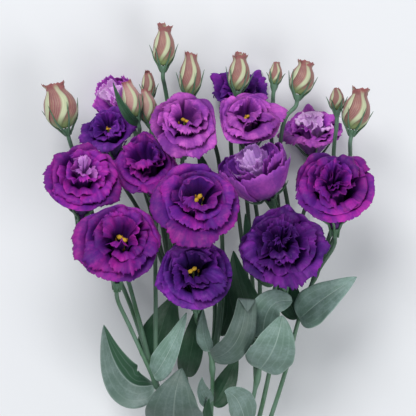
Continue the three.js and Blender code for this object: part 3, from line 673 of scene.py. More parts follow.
@dataclass(frozen=True)
class BudFinish(Coating):
    """Furled petals: brownish pink with a pale band, green at the foot, red at the lip, and a
    painted shadow along each free edge.
    """

    flesh: Colour = (0.35, 0.145, 0.125)
    blush: Colour = (0.27, 0.090, 0.098)
    band: Colour = (0.55, 0.60, 0.38)
    foot: Colour = (0.24, 0.34, 0.12)
    lip: Colour = (0.31, 0.08, 0.085)
    blotches: float = 120.0
    veins: float = 17.0
    relief: float = 0.00012

    def build(self, groups: Groups) -> Material:
        """Builds the material.

        Args:
            groups: The shared shader groups.

        Returns:
            The material.
        """
        s = Surface(self.name, groups)
        blotch, height = s.mottle(self.blotches)
        vein = s.veins(self.veins, 3.0, 0.06)
        colour = s.coats(self.flesh, (blotch, self.blush), (s.times(vein, 0.18), self.band),
                         (s.ramp(s.across, 0.81, 0.87), self.band),
                         # Painted shadow: a thin dark line in the blush colour along each petal's
                         # free edge.
                         (s.ramp(s.across, 0.975, 1.0, 0.0, 0.9), self.blush),
                         (s.ramp(s.along, 0.6, 0.95, 0.0, 0.35), self.blush),
                         (s.ramp(s.along, 0.05, 0.3, 0.95, 0.0), self.foot),
                         (s.ramp(s.along, 0.9, 1.0, 0.0, 0.9), self.lip))
        return s.wear(colour, height, (0.45, 0.62), vein, self.relief, {"Sheen Weight": 0.1})


@dataclass(frozen=True)
class StemFinish(Coating):
    """Stems with a grey bloom over green, streaked along, and darkened with painted shade in the
    thick of the bunch.
    """

    green: Colour = (0.055, 0.15, 0.065)
    waxy: Colour = (0.12, 0.22, 0.155)
    shadow: Colour = (0.006, 0.018, 0.010)
    streaks: float = 260.0
    drawn: float = 0.12              # how far the streaks are drawn out
    patches: float = 40.0
    thick: tuple[float, float] = (0.02, 0.14)     # where the bunch is thick, in m along it
    fade: float = 0.04
    relief: float = 0.0002

    def build(self, groups: Groups) -> Material:
        """Builds the material.

        Args:
            groups: The shared shader groups.

        Returns:
            The material.
        """
        s = Surface(self.name, groups)
        streak, height = s.mottle(self.streaks, stretch=(1.0, self.drawn, 1.0))
        patch, _ = s.mottle(self.patches)
        _, along, up = s.split(s.place)
        start, end = self.thick
        # Painted shade: stems low down in the thick of the bunch darken to the shadow colour.
        deep = s.times(s.ramp(up, 0.03, 0.09, 0.85, 0.0), s.ramp(along, start, start + self.fade))
        deep = s.times(deep, s.ramp(along, end, end + self.fade, 1.0, 0.0))
        colour = s.coats(self.green, (streak, self.waxy), (s.times(patch, 0.5), self.waxy),
                         (s.ramp(s.tone, 0.5, 1.0, 0.0, 0.6), self.green), (deep, self.shadow))
        return s.wear(colour, height, (0.4, 0.6), height, self.relief)


@dataclass(frozen=True)
class LeafFinish(Coating):
    """A leaf blade with a grey bloom, pale veins, a paler back and, where asked, painted shade over
    its far half.
    """

    green: Colour
    waxy: Colour
    vein: Colour
    back: Colour
    # The dark green of the painted shade on a folded leaf's far half.
    painted_shade_green: Colour = (0.03, 0.10, 0.05)
    shadow: float = 0.0              # how much painted shade darkens the far half
    blotches: float = 70.0
    grains: float = 420.0
    veins: float = 6.0
    relief: float = 0.0002

    def build(self, groups: Groups) -> Material:
        """Builds the material.

        Args:
            groups: The shared shader groups.

        Returns:
            The material.
        """
        s = Surface(self.name, groups)
        blotch, height = s.mottle(self.blotches)
        grain, _ = s.mottle(self.grains)
        vein = s.veins(self.veins, 26.0, 0.05)
        from_middle = s.math("ABSOLUTE", s.math("SUBTRACT", s.across, 0.5))
        midrib = s.ramp(from_middle, 0.004, 0.022, 0.6, 0.0)
        # Painted shade: the far half of a folded leaf darkens to the shade green.
        inner = s.times(s.ramp(s.across, 0.5, 0.56), self.shadow)
        under = s.blend(s.times(vein, 0.15), self.back, self.vein)
        colour = s.coats(self.green, (blotch, self.waxy), (s.times(grain, 0.5), self.green),
                         (inner, self.painted_shade_green), (s.times(vein, 0.2), self.vein),
                         (midrib, self.vein),
                         (s.ramp(from_middle, 0.475, 0.5, 0.0, 0.4), self.vein),
                         (s.math("SUBTRACT", 1.0, s.mark("back")), under),
                         (s.ramp(s.along, 0.0, 0.12, 0.6, 0.0), self.vein))
        relief = s.math("ADD", s.times(midrib, -1.5), height)
        return s.wear(s.toned(colour, 0.6, 1.35), height, (0.42, 0.6), relief, self.relief)


@dataclass(frozen=True)
class SpeckledFinish(Coating):
    """A small part in two close tones, such as an anther, a style or raffia."""

    light: Colour
    dark: Colour
    scale: float
    roughness: float = 0.6
    stretch: Vector = (1.0, 1.0, 1.0)
    relief: float = 0.0002

    def build(self, groups: Groups) -> Material:
        """Builds the material.

        Args:
            groups: The shared shader groups.

        Returns:
            The material.
        """
        s = Surface(self.name, groups)
        speck, height = s.mottle(self.scale, stretch=self.stretch)
        dullness = (self.roughness - 0.1, self.roughness + 0.1)
        return s.wear(s.blend(speck, self.dark, self.light), height, dullness, height,
                      self.relief)


class Finish(Enum):
    """Every finish of the bunch."""

    MAGENTA = PetalFinish("magenta petal", "petal_magenta", throat_and_shade=(0.006, 0.001, 0.014),
                          face=(0.179, 0.010, 0.252), lip=(0.403, 0.018, 0.314),
                          shade=(0.062, 0.008, 0.185), back=(0.202, 0.025, 0.280))
    VIOLET = PetalFinish("violet petal", "petal_violet", throat_and_shade=(0.004, 0.001, 0.010),
                         face=(0.101, 0.012, 0.252), lip=(0.235, 0.020, 0.347),
                         shade=(0.032, 0.006, 0.12), back=(0.134, 0.027, 0.280))
    LILAC = PetalFinish("lilac petal", "petal_lilac", throat_and_shade=(0.026, 0.005, 0.050),
                        face=(0.403, 0.065, 0.426), lip=(0.616, 0.118, 0.571),
                        shade=(0.15, 0.020, 0.26), back=(0.358, 0.078, 0.426),
                        paler=(0.80, 0.58, 0.84))
    PLUM = PetalFinish("plum petal", "petal_lilac", throat_and_shade=(0.014, 0.003, 0.045),
                       face=(0.230, 0.034, 0.330), lip=(0.380, 0.075, 0.440),
                       shade=(0.080, 0.012, 0.200), back=(0.320, 0.052, 0.350),
                       paler=(0.66, 0.42, 0.74))
    BUD = BudFinish("furled petal", "bud")
    PALE_BUD = BudFinish("cream bud petal", "bud", flesh=(0.50, 0.29, 0.25),
                         blush=(0.46, 0.17, 0.20))
    STEM = StemFinish("waxy stem", "stem")
    LEAF = LeafFinish("waxy leaf", "leaf_outer", green=(0.115, 0.195, 0.155),
                      waxy=(0.205, 0.30, 0.275), vein=(0.34, 0.45, 0.40),
                      back=(0.21, 0.295, 0.27))
    # The folded leaf carries painted shade over its far half.
    FOLDED_LEAF = LeafFinish("folded leaf", "leaf_outer", green=(0.115, 0.185, 0.155),
                             waxy=(0.19, 0.27, 0.25), vein=(0.32, 0.42, 0.38),
                             back=(0.21, 0.285, 0.265), shadow=0.95)
    # A darker copy of the leaf finish for leaves deep among the stems: painted shade.
    SHADED_LEAF = LeafFinish("dark leaf", "leaf_inner", green=(0.012, 0.065, 0.026),
                             waxy=(0.030, 0.100, 0.050), vein=(0.07, 0.16, 0.09),
                             back=(0.045, 0.11, 0.065))
    STIGMA = SpeckledFinish("stigma", "stigma", (0.80, 0.52, 0.03), (0.62, 0.34, 0.02), 900.0)
    ANTHER = SpeckledFinish("anther", "stigma", (0.72, 0.36, 0.03), (0.42, 0.15, 0.02), 1400.0)
    PISTIL = SpeckledFinish("pistil", "stem", (0.34, 0.42, 0.10), (0.15, 0.24, 0.05), 700.0)
    RAFFIA = SpeckledFinish("raffia", "tie", (0.62, 0.47, 0.27), (0.36, 0.24, 0.11), 300.0,
                            0.75, (0.15, 1.0, 1.0), 0.0004)


class Palette:
    """Builds each finish's material when it is first asked for."""

    def __init__(self) -> None:
        """Starts with no materials."""
        self.groups = Groups()
        self.made: dict[Finish, Material] = {}

    def __getitem__(self, finish: Finish) -> Material:
        """Finds the material of a finish.

        Args:
            finish: The finish.

        Returns:
            Its material.
        """
        if finish not in self.made:
            self.made[finish] = finish.value.build(self.groups)
        return self.made[finish]


# ------------------------------------------------------------------ geometry nodes
class Sweep:
    """A node tree that turns paths into round strands, and their tips into beads."""

    SIDES = 10
    BEAD = {"Segments": 10, "Rings": 7, "Radius": MILLIMETRE}

    def __init__(self) -> None:
        """Builds the tree with its named inputs."""
        graph, ask, end = new_group("Strands", "GeometryNodeTree", {
            "Geometry": "Geometry", "Sides": "Int", "Material": "Material",
            "Bead Size": "Vector", "Bead Material": "Material"}, {"Geometry": "Geometry"})
        paths = graph.out("GeometryNodeMeshToCurve", {"Mesh": ask["Geometry"]})
        girth = graph.out("GeometryNodeInputNamedAttribute", {"Name": "girth"},
                          data_type="FLOAT")
        ring = graph.out("GeometryNodeCurvePrimitiveCircle",
                         {"Resolution": ask["Sides"], "Radius": 1.0})
        skin = graph.out("GeometryNodeCurveToMesh", {
            "Curve": paths, "Profile Curve": ring, "Scale": girth, "Fill Caps": True})
        bead = graph.out("GeometryNodeMeshUVSphere", self.BEAD)
        tips = graph.out("GeometryNodeCurveEndpointSelection", {"Start Size": 0, "End Size": 1})
        lean = graph.out("FunctionNodeAlignRotationToVector",
                         {"Vector": graph.out("GeometryNodeInputTangent")}, axis="Z")
        beads = graph.out("GeometryNodeInstanceOnPoints", {
            "Points": paths, "Selection": tips, "Instance": bead, "Rotation": lean,
            "Scale": ask["Bead Size"]})
        beads = graph.out("GeometryNodeRealizeInstances", {"Geometry": beads})
        both = graph.node("GeometryNodeJoinGeometry")
        for part, material in ((beads, "Bead Material"), (skin, "Material")):
            smooth = graph.out("GeometryNodeSetShadeSmooth", {"Geometry": part})
            graph.feed(both, {0: graph.out("GeometryNodeSetMaterial", {
                "Geometry": smooth, "Material": ask[material]})})
        graph.feed(end, {0: both.outputs[0]})
        self.tree = graph.tree

    def piece(self, name: str, strands: Sequence[Strand], material: Material,
              bead: Vector = (0.0, 0.0, 0.0), bead_material: Material | None = None,
              sides: int = SIDES) -> Piece:
        """Sweeps strands into one plain mesh.

        Args:
            name: The piece's name.
            strands: The paths and their radii.
            material: The finish of the strands.
            bead: The half sizes of the bead at each strand's end, or zeros for none.
            bead_material: The finish of the beads.
            sides: The number of sides of a strand.

        Returns:
            The new object, at the origin.
        """
        mesh = bpy.data.meshes.new(name)
        edges, first = [], 0
        for strand in strands:
            index = np.arange(len(strand.points)) + first
            edges.append(np.stack([index[:-1], index[1:]], -1))
            if strand.closed:
                edges.append(np.array([[index[-1], index[0]]]))
            first += len(index)
        points = placed(np.concatenate([strand.points for strand in strands]))
        mesh.from_pydata(points.tolist(), np.concatenate(edges).tolist(), [])
        shape = [(strand, len(strand.points)) for strand in strands]
        mark_points(mesh, {
            "girth": MILLIMETRE * np.concatenate([np.broadcast_to(one.radii, size)
                                                  for one, size in shape]),
            "tone": np.concatenate([np.full(size, one.tone) for one, size in shape])})
        carrier = add_object(name, mesh)
        modifier = carrier.modifiers.new("sweep", "NODES")
        modifier.node_group = self.tree
        values = {"Sides": sides, "Material": material, "Bead Size": bead,
                  "Bead Material": bead_material or material}
        for item in self.tree.interface.items_tree:
            if item.in_out == "INPUT" and item.name in values:
                modifier[item.identifier] = values[item.name]
        depsgraph = bpy.context.evaluated_depsgraph_get()
        plain = bpy.data.meshes.new_from_object(
            carrier.evaluated_get(depsgraph), preserve_all_data_layers=True, depsgraph=depsgraph)
        carrier.modifiers.clear()
        carrier.data = plain
        return carrier


# ------------------------------------------------------------------ parts and heads
def place_piece(piece: Piece, node: str) -> None:
    """Settles a finished piece on the surface and ties it to the frame.

    Args:
        piece: The piece.
        node: The CAD node that it stands for.
    """
    heights = np.empty(3 * len(piece.data.vertices))
    piece.data.vertices.foreach_get("co", heights)
    low = np.minimum(heights[2::3], SOFT_REST)
    heights[2::3] += SOFT_REST * np.exp(low / SOFT_REST - 1) - low
    piece.data.vertices.foreach_set("co", heights)
    piece.data.update()
    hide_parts(node)
    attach(piece, "root")
    LOG.info("%s: %d faces, stands for %s", piece.name, len(piece.data.polygons), node)


@dataclass
class Part:
    """A part of the bunch that stands for one numbered solid."""

    number: int

    KIND = "part"
    DIGITS = 2

    @property
    def name(self) -> str:
        """The name of its solid."""
        return f"{self.KIND}_{self.number:0{self.DIGITS}}"


class Head(Part):
    """A bloom or a bud, with its own axes and the sepals behind it."""

    SEPALS = 5
    SEPAL_POINTS = 14
    SEPAL_TONE = 0.7

    def aim(self, forward: Array, right: Array) -> None:
        """Sets up its own axes.

        Args:
            forward: The way that it points.
            right: The way across it.
        """
        self.forward, self.right = unit(forward), unit(right)
        self.up = np.cross(self.forward, self.right)

    def spoke(self, radius: Array, angle: Array) -> Array:
        """The way out from its axis to a radius at an angle."""
        return self.right * radius * np.cos(angle) + self.up * radius * np.sin(angle)

    def sepals(self) -> list[Strand]:
        """Lays the narrow sepals that stand round its back.

        Returns:
            Their paths.
        """
        places = np.linspace(0, 1, self.SEPAL_POINTS)
        return [Strand(Path(self.sepal(k)).at(places), self.sepal_girth(places),
                       tone=self.SEPAL_TONE) for k in range(self.SEPALS)]


# ------------------------------------------------------------------ blooms
@dataclass(frozen=True)
class Ring:
    """One ring of petals: the curve from root to lip and how the petals ruffle.

    The radii are in parts of the bloom's radius after the root's in mm, and the
    heights in parts of its depth.
    """

    root: float
    radii: tuple[float, float, float]
    heights: tuple[float, float, float]
    frill: float
    start: float                     # how far the ring is turned, in CAD columns
    petals: int = 5
    width: float = 1.34              # a petal's width in parts of its share of the ring
    roll: float = 2.0                # how far the lip curls outwards


class Layer(Enum):
    """The rings of petals that blooms are made of, outside first."""

    SKIRT = Ring(4.6, (0.45, 0.74, 1.0), (0.3, 1.28, 0.88), 2.2, 0, roll=1.0)
    MANTLE = Ring(3.9, (0.36, 0.56, 0.82), (0.32, 1.38, 1.06), 2.4, 1, roll=2.5)
    RUFF = Ring(3.2, (0.25, 0.39, 0.61), (0.36, 1.46, 1.24), 2.4, 2, width=1.2, roll=3.0)
    COLLAR = Ring(2.6, (0.15, 0.25, 0.42), (0.4, 1.5, 1.38), 2.0, 3.2, 4, 1.1, 3.0)
    ROSETTE = Ring(1.9, (0.08, 0.14, 0.27), (0.45, 1.45, 1.45), 1.4, 4, 4, 0.95, 2.0)
    HEART = Ring(1.2, (0.04, 0.06, 0.14), (0.5, 1.3, 1.5), 0.8, 5.3, 3, 0.9, 1.0)
    BOWL = Ring(4.6, (0.62, 0.98, 0.84), (0.1, 0.7, 1.34), 0.7, 0, 3, 1.7, 1.5)
    LINING = Ring(3.0, (0.42, 0.74, 0.72), (0.26, 0.8, 1.4), 2.2, 2)
    FILLING = Ring(2.4, (0.3, 0.5, 0.46), (0.3, 0.9, 1.46), 2.2, 1)
    KERNEL = Ring(1.8, (0.14, 0.26, 0.24), (0.4, 1.0, 1.46), 1.5, 4)


ROSE = (Layer.SKIRT, Layer.MANTLE, Layer.RUFF, Layer.COLLAR, Layer.ROSETTE, Layer.HEART)
EYED = ROSE[:4]
WIDE = (Layer.SKIRT, Layer.RUFF, Layer.COLLAR)
CUP = (Layer.BOWL, Layer.LINING, Layer.FILLING, Layer.KERNEL)


@dataclass
class Bloom(Head):
    """One open bloom: its place, its rings of petals and its centre."""

    rim: Vector
    faces: Vector
    radius: float
    depth: float
    hang: Vector
    turn: float
    layers: tuple[Layer, ...]
    finish: Finish
    centre: bool = False
    eye: tuple[float, float] = (0.0, 0.0)
    ruffle: float = 1.0              # how much its petals wave
    pale: float = 0.0                # how much paler its inner rings are
    light: float = 0.5               # how light its petals are, 0 to 1
    presses: list[tuple[Array, Array]] = field(default_factory=list)

    KIND = "bloom"
    ACROSS, ALONG = 54, 20           # faces of a petal
    SHELL = (0.4, 0.6, 6)            # a petal's thickness, thinning and sharpness
    PRESS_ZONE = 7.0                 # how near to a neighbour petals start to give way
    RESERVE = 0.7                    # how near they come in the end
    OVERLAP = 0.08                   # how far one side of a petal stands over the next
    WIDE_RADIUS = 35                 # past it a petal has four columns in CAD, not three
    STEP = 0.01                      # what the slope of a ring's curve is measured over
    TOOTH = 0.014                    # the depth of each of the waves that notch a rim
    TEETH = (23, 41, 73)             # how closely those waves follow one another
    SEAT = ((0.5, 0.1), (4.0, 0.2), (4.5, 1.6), (4.6, 3.2), (3.0, 3.8), (0.5, 3.9))
    SEAT_TONE, STIGMA_TONE = 0.3, 0.5
    STYLE_TOP = 0.9                  # the top of the style, in parts of the depth
    LOBE = (2.5, 1.9, 1.5)           # half sizes of the stigma's lobes: out, aside and up
    LOBE_RADIUS = 38                 # the radius of a bloom whose lobes have those sizes
    LOBE_TURN = 0.7
    OVARY = ((0.0, 0.2, 0.42, 0.56, 0.75, 0.92),        # heights up the style
             (1.5, 2.2, 2.0, 0.9, 0.7, 0.9))            # radii there
    ANTHER = (0.95, 0.95, 2.1)       # an anther's half sizes
    SEPAL_TONE = 0.75
    SEPAL_ROOT = ((3.4, 4.4), (-5.0, 0.0))      # radii and heights
    SEPAL_STAND = (0.9, 1.6, 1.9, 2.3, 3.2)     # how far a sepal stands off the petals

    def __post_init__(self) -> None:
        """Sets up the bloom's own axes."""
        self.seed = 100 * self.number
        self.columns = 5 * (4 if self.radius > self.WIDE_RADIUS else 3)
        self.aim(np.array(self.faces), np.cross(UPRIGHT, self.faces))
        self.heart = np.array(self.rim) - 0.3 * self.depth * self.forward

    def press_on(self, others: Sequence["Bloom"]) -> None:
        """Finds the planes where the bloom presses on its neighbours.

        Args:
            others: The blooms of the bunch.
        """
        for other in others:
            if other is not self:
                towards = other.heart - self.heart
                share = self.radius / (self.radius + other.radius)
                self.presses.append((self.heart + share * towards, unit(towards)))

    def point(self, radius: Array, angle: Array, height: Array) -> Array:
        """Finds points of the bloom.

        Args:
            radius: The distance from its axis.
            angle: The angle round its axis.
            height: The height over its base.

        Returns:
            The points, pressed back from the bloom's neighbours.
        """
        radius, angle, height = spread(radius, angle, height)
        below = np.maximum(0.0, 1 - height / self.depth)
        hang = np.array(self.hang)
        axis = np.array(self.rim) + self.forward * (height - self.depth) + hang * below ** 2
        along = unit(self.forward + hang * (-2 * below / self.depth))
        outwards = self.spoke(radius, angle)
        twist = np.cross(self.forward, along)
        real = 1 + along @ self.forward[:, None]
        size = np.sqrt((twist ** 2).sum(-1, keepdims=True) + real ** 2)
        twist, real = twist / size, real / size
        swing = 2 * np.cross(twist, outwards)
        point = axis + outwards + real * swing + np.cross(twist, swing)
        inner = (1 - np.minimum(1.0, radius / self.radius) ** 2) * ease(0.1, 0.9, 1 - below)
        point = point + inner * (self.right * self.eye[0] + self.up * self.eye[1])
        return mix(point, self._pressed(point), ease(2, 10, height))

    def _pressed(self, points: Array) -> Array:
        """Moves points back from the planes that the bloom presses on.

        Args:
            points: The points.

        Returns:
            The moved points.
        """
        give = self.PRESS_ZONE - self.RESERVE
        for place, normal in self.presses:
            beyond = ((points - place) @ normal)[..., None]
            depth = np.maximum(beyond + self.PRESS_ZONE, 0.0)
            kept = -self.RESERVE - give * np.exp(-depth / give)
            points = points + normal * np.where(beyond > -self.PRESS_ZONE, kept - beyond, 0.0)
        return points

    def profile(self, ring: Ring, reach: Array, stand: Array | float) -> tuple[Array, Array]:
        """Reads a ring's curve from root to lip.

        Args:
            ring: The ring of petals.
            reach: The place along the curve, 0 to 1.
            stand: How far outside the curve the point lies.

        Returns:
            The radius and the height.
        """
        radii = (ring.root / self.radius, *ring.radii)
        heights = (BLOOM_FLOOR / self.depth, *ring.heights)
        radius, height = self.radius * bezier(radii, reach), self.depth * bezier(heights, reach)
        out = self.radius * bezier(radii, reach + self.STEP) - radius
        rise = self.depth * bezier(heights, reach + self.STEP) - height
        slope = np.hypot(out, rise)
        return radius + stand * rise / slope, height - stand * out / slope

    def petal(self, ring: Ring, index: int, petal: int) -> Sheet:
        """Shapes one petal.

        Args:
            ring: The ring that it belongs to.
            index: The ring's number in the bloom, from outside.
            petal: The petal's number in the ring.

        Returns:
            Its middle points, and their u and v.
        """
        u, v = surface_grid(self.ACROSS, self.ALONG)
        seed = self.seed + 10 * index + petal
        chance = [draw(seed + 0.1 * k) - 0.5 for k in range(1, 12)]
        pitch = TURN / ring.petals
        loose = max(0.35, min(index, 2) / 2)
        middle = (self.turn + pitch * (petal + 0.5 + 0.5 * chance[6] * loose)
                  - TURN / self.columns * (0.5 + ring.start))
        rear = math.sin(middle) * loose
        half = 0.5 * pitch * (ring.width + 0.3 * chance[7]) * mix(0.7, 1.0, ease(0.02, 0.6, v))
        angle = middle + half * u + 0.4 * chance[0] * v
        length = 0.97 + (0.1 + 0.2 * loose) * chance[1] + 0.09 * rear
        rounded = 1 - 0.15 * np.abs(u) ** 2.8 - 0.03 * np.abs(np.sin(2.2 * u + 3 * chance[1]))
        teeth = self.TOOTH * sum(np.sin(often * u + (9 - 2 * k) * chance[2 + k])
                                 for k, often in enumerate(self.TEETH))
        reach = length * v * rounded + teeth * ease(0.84, 1.0, v)
        wave = (np.sin((2.6 + chance[2]) * u + TURN * chance[3])
                + 0.5 * np.sin((6.5 + 2 * chance[4]) * u + TURN * chance[5])) * v ** 1.6
        ruffle = np.sin((13 + 4 * chance[8]) * u + TURN * chance[9]) * ease(0.5, 1.0, v)
        pleat = np.sin(9 * u + TURN * chance[5]) * v * (1.1 - v)
        crease = bump(u - 1.4 * chance[9], 0.22) * ease(0.3, 1.0, v)
        tilt = (2.4 + 4.5 * loose) * chance[8] * u * v
        lean = (3.0 + 4.5 * loose) * chance[3] + 2.2 * rear
        curl = ring.roll * (1 + 1.1 * chance[10] - 0.5 * rear)
        middle_radius, _ = self.profile(ring, reach, 0.0)
        stand = (ring.frill * self.ruffle * (wave + 0.3 * self.ruffle * ruffle) + 0.45 * pleat
                 + self.OVERLAP * middle_radius * u * ease(0.0, 0.5, v)
                 + curl * ease(0.66, 1.0, v) + lean * ease(0.25, 0.95, v)
                 + 1.5 * np.abs(u) ** 4 * ease(0.4, 1.0, v) + tilt
                 - (0.6 + 2.2 * loose) * crease)
        radius, height = self.profile(ring, reach, stand)
        return self.point(radius, angle, height), u, v

    def petals(self, palette: Palette) -> Piece:
        """Builds the bloom's petals and the cup that they grow from.

        Args:
            palette: The materials.

        Returns:
            The piece.
        """
        draft = Draft(f"{self.name}.petals")
        for index, layer in enumerate(self.layers):
            ring = layer.value
            for petal in range(ring.petals):
                tone = self.light + 0.5 * (draw(self.seed + 7 * index + 3 * petal) - 0.5)
                tone += self.pale * (index / (len(self.layers) - 1)) ** 1.5
                draft.shell(self.petal(ring, index, petal), *self.SHELL, tone)
        sides = round_turn(24)
        seat = np.stack([self.point(radius, sides, height) for radius, height in self.SEAT])
        draft.lathe(seat, self.SEAT_TONE)
        return draft.finish(palette[self.finish])

    def stigma(self, palette: Palette) -> Piece:
        """Builds the two-lobed stigma.

        Args:
            palette: The materials.

        Returns:
            The piece.
        """
        draft = Draft(f"{self.name}.stigma")
        height, size = 0.955 * self.STYLE_TOP * self.depth, (self.radius / self.LOBE_RADIUS) ** 1.5
        sides, (wide, thick, high) = round_turn(16), self.LOBE
        for side in (self.turn - self.LOBE_TURN, self.turn - self.LOBE_TURN + math.pi):
            middle = self.point(2.3 * size, side, height)
            out = unit(self.point(4.0, side, height) - middle)
            aside = np.cross(self.forward, out)
            rows = []
            for lift in np.linspace(-0.96, 0.96, 9):
                belly = math.sqrt(1 - lift * lift)
                ripple = 1 + 0.1 * np.sin(5 * sides + 3 * lift)
                rows.append(middle + size * (
                    self.forward * high * lift
                    + out * (wide * belly * np.cos(sides) * ripple)[:, None]
                    + aside * (thick * belly * np.sin(sides) * ripple)[:, None]))
            draft.lathe(np.stack(rows), self.STIGMA_TONE)
        return draft.finish(palette[Finish.STIGMA])

    def stamens(self, sweep: Sweep, palette: Palette) -> Piece:
        """Builds the ovary, the style and the ring of stamens round it.

        Args:
            sweep: The tree that sweeps filaments and sets anthers on them.
            palette: The materials.

        Returns:
            The piece.
        """
        foot, top = BLOOM_FLOOR + CLEARANCE + 0.1, self.STYLE_TOP * self.depth
        heights, radii = np.array(self.OVARY)
        strands = [Strand(self.point(0.0, 0.0, mix(foot, top, heights)), radii)]
        places = np.linspace(0, 1, 9)
        for k in range(5):
            angle = self.turn + fifth(k, 0.3 * draw(self.seed + k))
            height = mix(foot, (0.7 + 0.12 * draw(self.seed + k + 0.5)) * top, places)
            strands.append(Strand(self.point(1.8 + 3.2 * places ** 2, angle, height),
                                  mix(0.5, 0.28, places)))
        return sweep.piece(f"{self.name}.stamens", strands, palette[Finish.PISTIL],
                           self.ANTHER, palette[Finish.ANTHER])

    def sepal(self, k: int) -> Array:
        """Lays one sepal on the bloom's back.

        Args:
            k: Its number.

        Returns:
            The points that it runs through.
        """
        angle = self.turn + fifth(k, 0.3 * draw(self.seed + k + 0.7))
        reach = np.array([0.02, 0.1, 0.2, 0.3, 0.4 + 0.1 * draw(self.seed + k)])
        radius, height = self.profile(self.layers[0].value, reach, np.array(self.SEPAL_STAND))
        radii, heights = self.SEPAL_ROOT
        return np.concatenate([self.point(radii, angle, heights),
                               self.point(radius, angle, height)])

    def sepal_girth(self, places: Array) -> Array:
        """A sepal's radius at places from 0 to 1 along it."""
        return 1.1 * np.sin(np.pi * mix(0.25, 0.98, places)) + 0.12

    def build(self, sweep: Sweep, palette: Palette) -> None:
        """Builds and dresses the bloom.

        Args:
            sweep: The tree for the stamens.
            palette: The materials.
        """
        place_piece(self.petals(palette), self.name)
        if self.centre:
            centre = f"{self.name}_centre"
            place_piece(self.stigma(palette), centre)
            place_piece(self.stamens(sweep, palette), centre)


# ------------------------------------------------------------------ buds
@dataclass
class Bud(Head):
    """One furled bud: petals wound round each other, with their free edges outside."""

    foot: Vector
    tip: Vector
    radius: float
    open: float
    finish: Finish = Finish.BUD

    KIND = "bud"
    ACROSS, ALONG = 20, 30           # faces of a petal
    SHELL = (0.45, 0.5, 8)           # a petal's thickness, thinning and sharpness
    PETALS = 5
    TWIST = 2.0                      # how far they wind
    SPAN = 0.46                      # a petal's width in parts of a whole turn
    RAG = ((0.014, 21, 1), (0.010, 47, 2))      # a rim's waves: depth, closeness and shift
    CORE = 0.8                       # the core's radius in parts of the bud's
    CORE_TONE = 0.2
    SEPAL_CLEAR = (0.0, 0.6, 0.9, 1.6, 4.4)     # how far a sepal stands off the bud
    SEPAL_ROOT = 2.0

    def __post_init__(self) -> None:
        """Sets up the bud's own axes."""
        axis = np.subtract(self.tip, self.foot)
        self.length = float(np.linalg.norm(axis))
        self.aim(axis, np.cross(axis, UPWARDS))

    def girth(self, height: Array) -> Array:
        """Finds the bud's radius, which is a spindle's whose mouth flares.

        Args:
            height: The height over its foot, in parts of its length.

        Returns:
            The radius.
        """
        height = np.clip(height, 0.0, 1.0)
        closed = np.sin(math.pi * (0.1 + 0.82 * height ** 0.8)) ** 0.8
        flared = mix(closed, 0.5, ease(0.62, 1.0, height))
        return self.radius * mix(closed, flared, self.open)

    def point(self, radius: Array, angle: Array, height: Array) -> Array:
        """Points of the bud at a radius, an angle and a height of 0..1."""
        radius, angle, height = spread(radius, angle, height)
        return self.foot + self.forward * height * self.length + self.spoke(radius, angle)

    def petals(self, palette: Palette) -> Piece:
        """Builds the furled petals and the core inside them.

        Args:
            palette: The materials.

        Returns:
            The piece.
        """
        draft = Draft(f"{self.name}.petals")
        u, v = surface_grid(self.ACROSS, self.ALONG)
        across = (u + 1) / 2
        for k in range(self.PETALS):
            seed = 31.0 * self.number + k
            top = 0.92 + 0.14 * draw(seed) - 0.12 * (1 - across) ** 2 * self.open
            rag = sum(size * np.sin(often * across + shift * seed)
                      for size, often, shift in self.RAG)
            height = 0.01 + v * (top - 0.01) + rag * ease(0.9, 1, v)
            wind = self.TWIST * height * (2.1 - 1.7 * height)
            angle = fifth(k, 0.0) + TURN * self.SPAN * across + wind
            wrap = mix(0.88, 1.1, across ** 0.8) * ease(-0.6, 0.3, v)
            flare = self.open * (1.6 * across + 1.4 * draw(seed + 0.5)) * ease(0.84, 1.0, v)
            pinch = 1 - 0.3 * (1 - self.open) * ease(0.8, 1.0, v) * (1 - across)
            radius = self.girth(height) * wrap * pinch + flare
            radius = radius + 0.35 * np.sin(15 * across + seed) * ease(0.7, 1.0, v)
            draft.shell((self.point(radius, angle, height), u, v), *self.SHELL,
                        0.4 + 0.2 * draw(seed + 0.2))
        sides = round_turn(20)
        draft.lathe(np.stack([
            self.point(self.CORE * self.girth(height) * (1.02 - height ** 6), sides, height)
            for height in np.linspace(0.01, 0.9, 12)]), self.CORE_TONE)
        return draft.finish(palette[self.finish])

    def sepal(self, k: int) -> Array:
        """Lays one sepal round the bud.

        Args:
            k: Its number.

        Returns:
            The points that it runs through.
        """
        seed = self.length + k
        reach = 0.46 + 0.2 * draw(seed + 0.3)
        heights = np.array([-0.16, 0.02, 0.16, 0.5 * (0.16 + reach), reach])
        clear = self.girth(heights) + np.array(self.SEPAL_CLEAR)
        clear[0] = self.SEPAL_ROOT
        return self.point(clear, fifth(k, 0.4 * draw(seed)), heights)

    def sepal_girth(self, places: Array) -> Array:
        """A sepal's radius at places from 0 to 1 along it."""
        return 0.95 * (1 - places) ** 0.7 * ease(-0.3, 0.15, places) + 0.16

    def build(self, palette: Palette) -> None:
        """Builds and dresses the bud."""
        place_piece(self.petals(palette), self.name)


# ------------------------------------------------------------------ stems
class Row(Enum):
    """The rows of stems in the tie, by their height over the surface."""

    BACK = BACK_ROW
    FRONT = BACK_ROW + ROW_PITCH


@dataclass
class Branch:
    """A side shoot: the point of the main shoot that it leaves, its points and its head."""

    leaves: int
    points: list[Vector]
    head: str


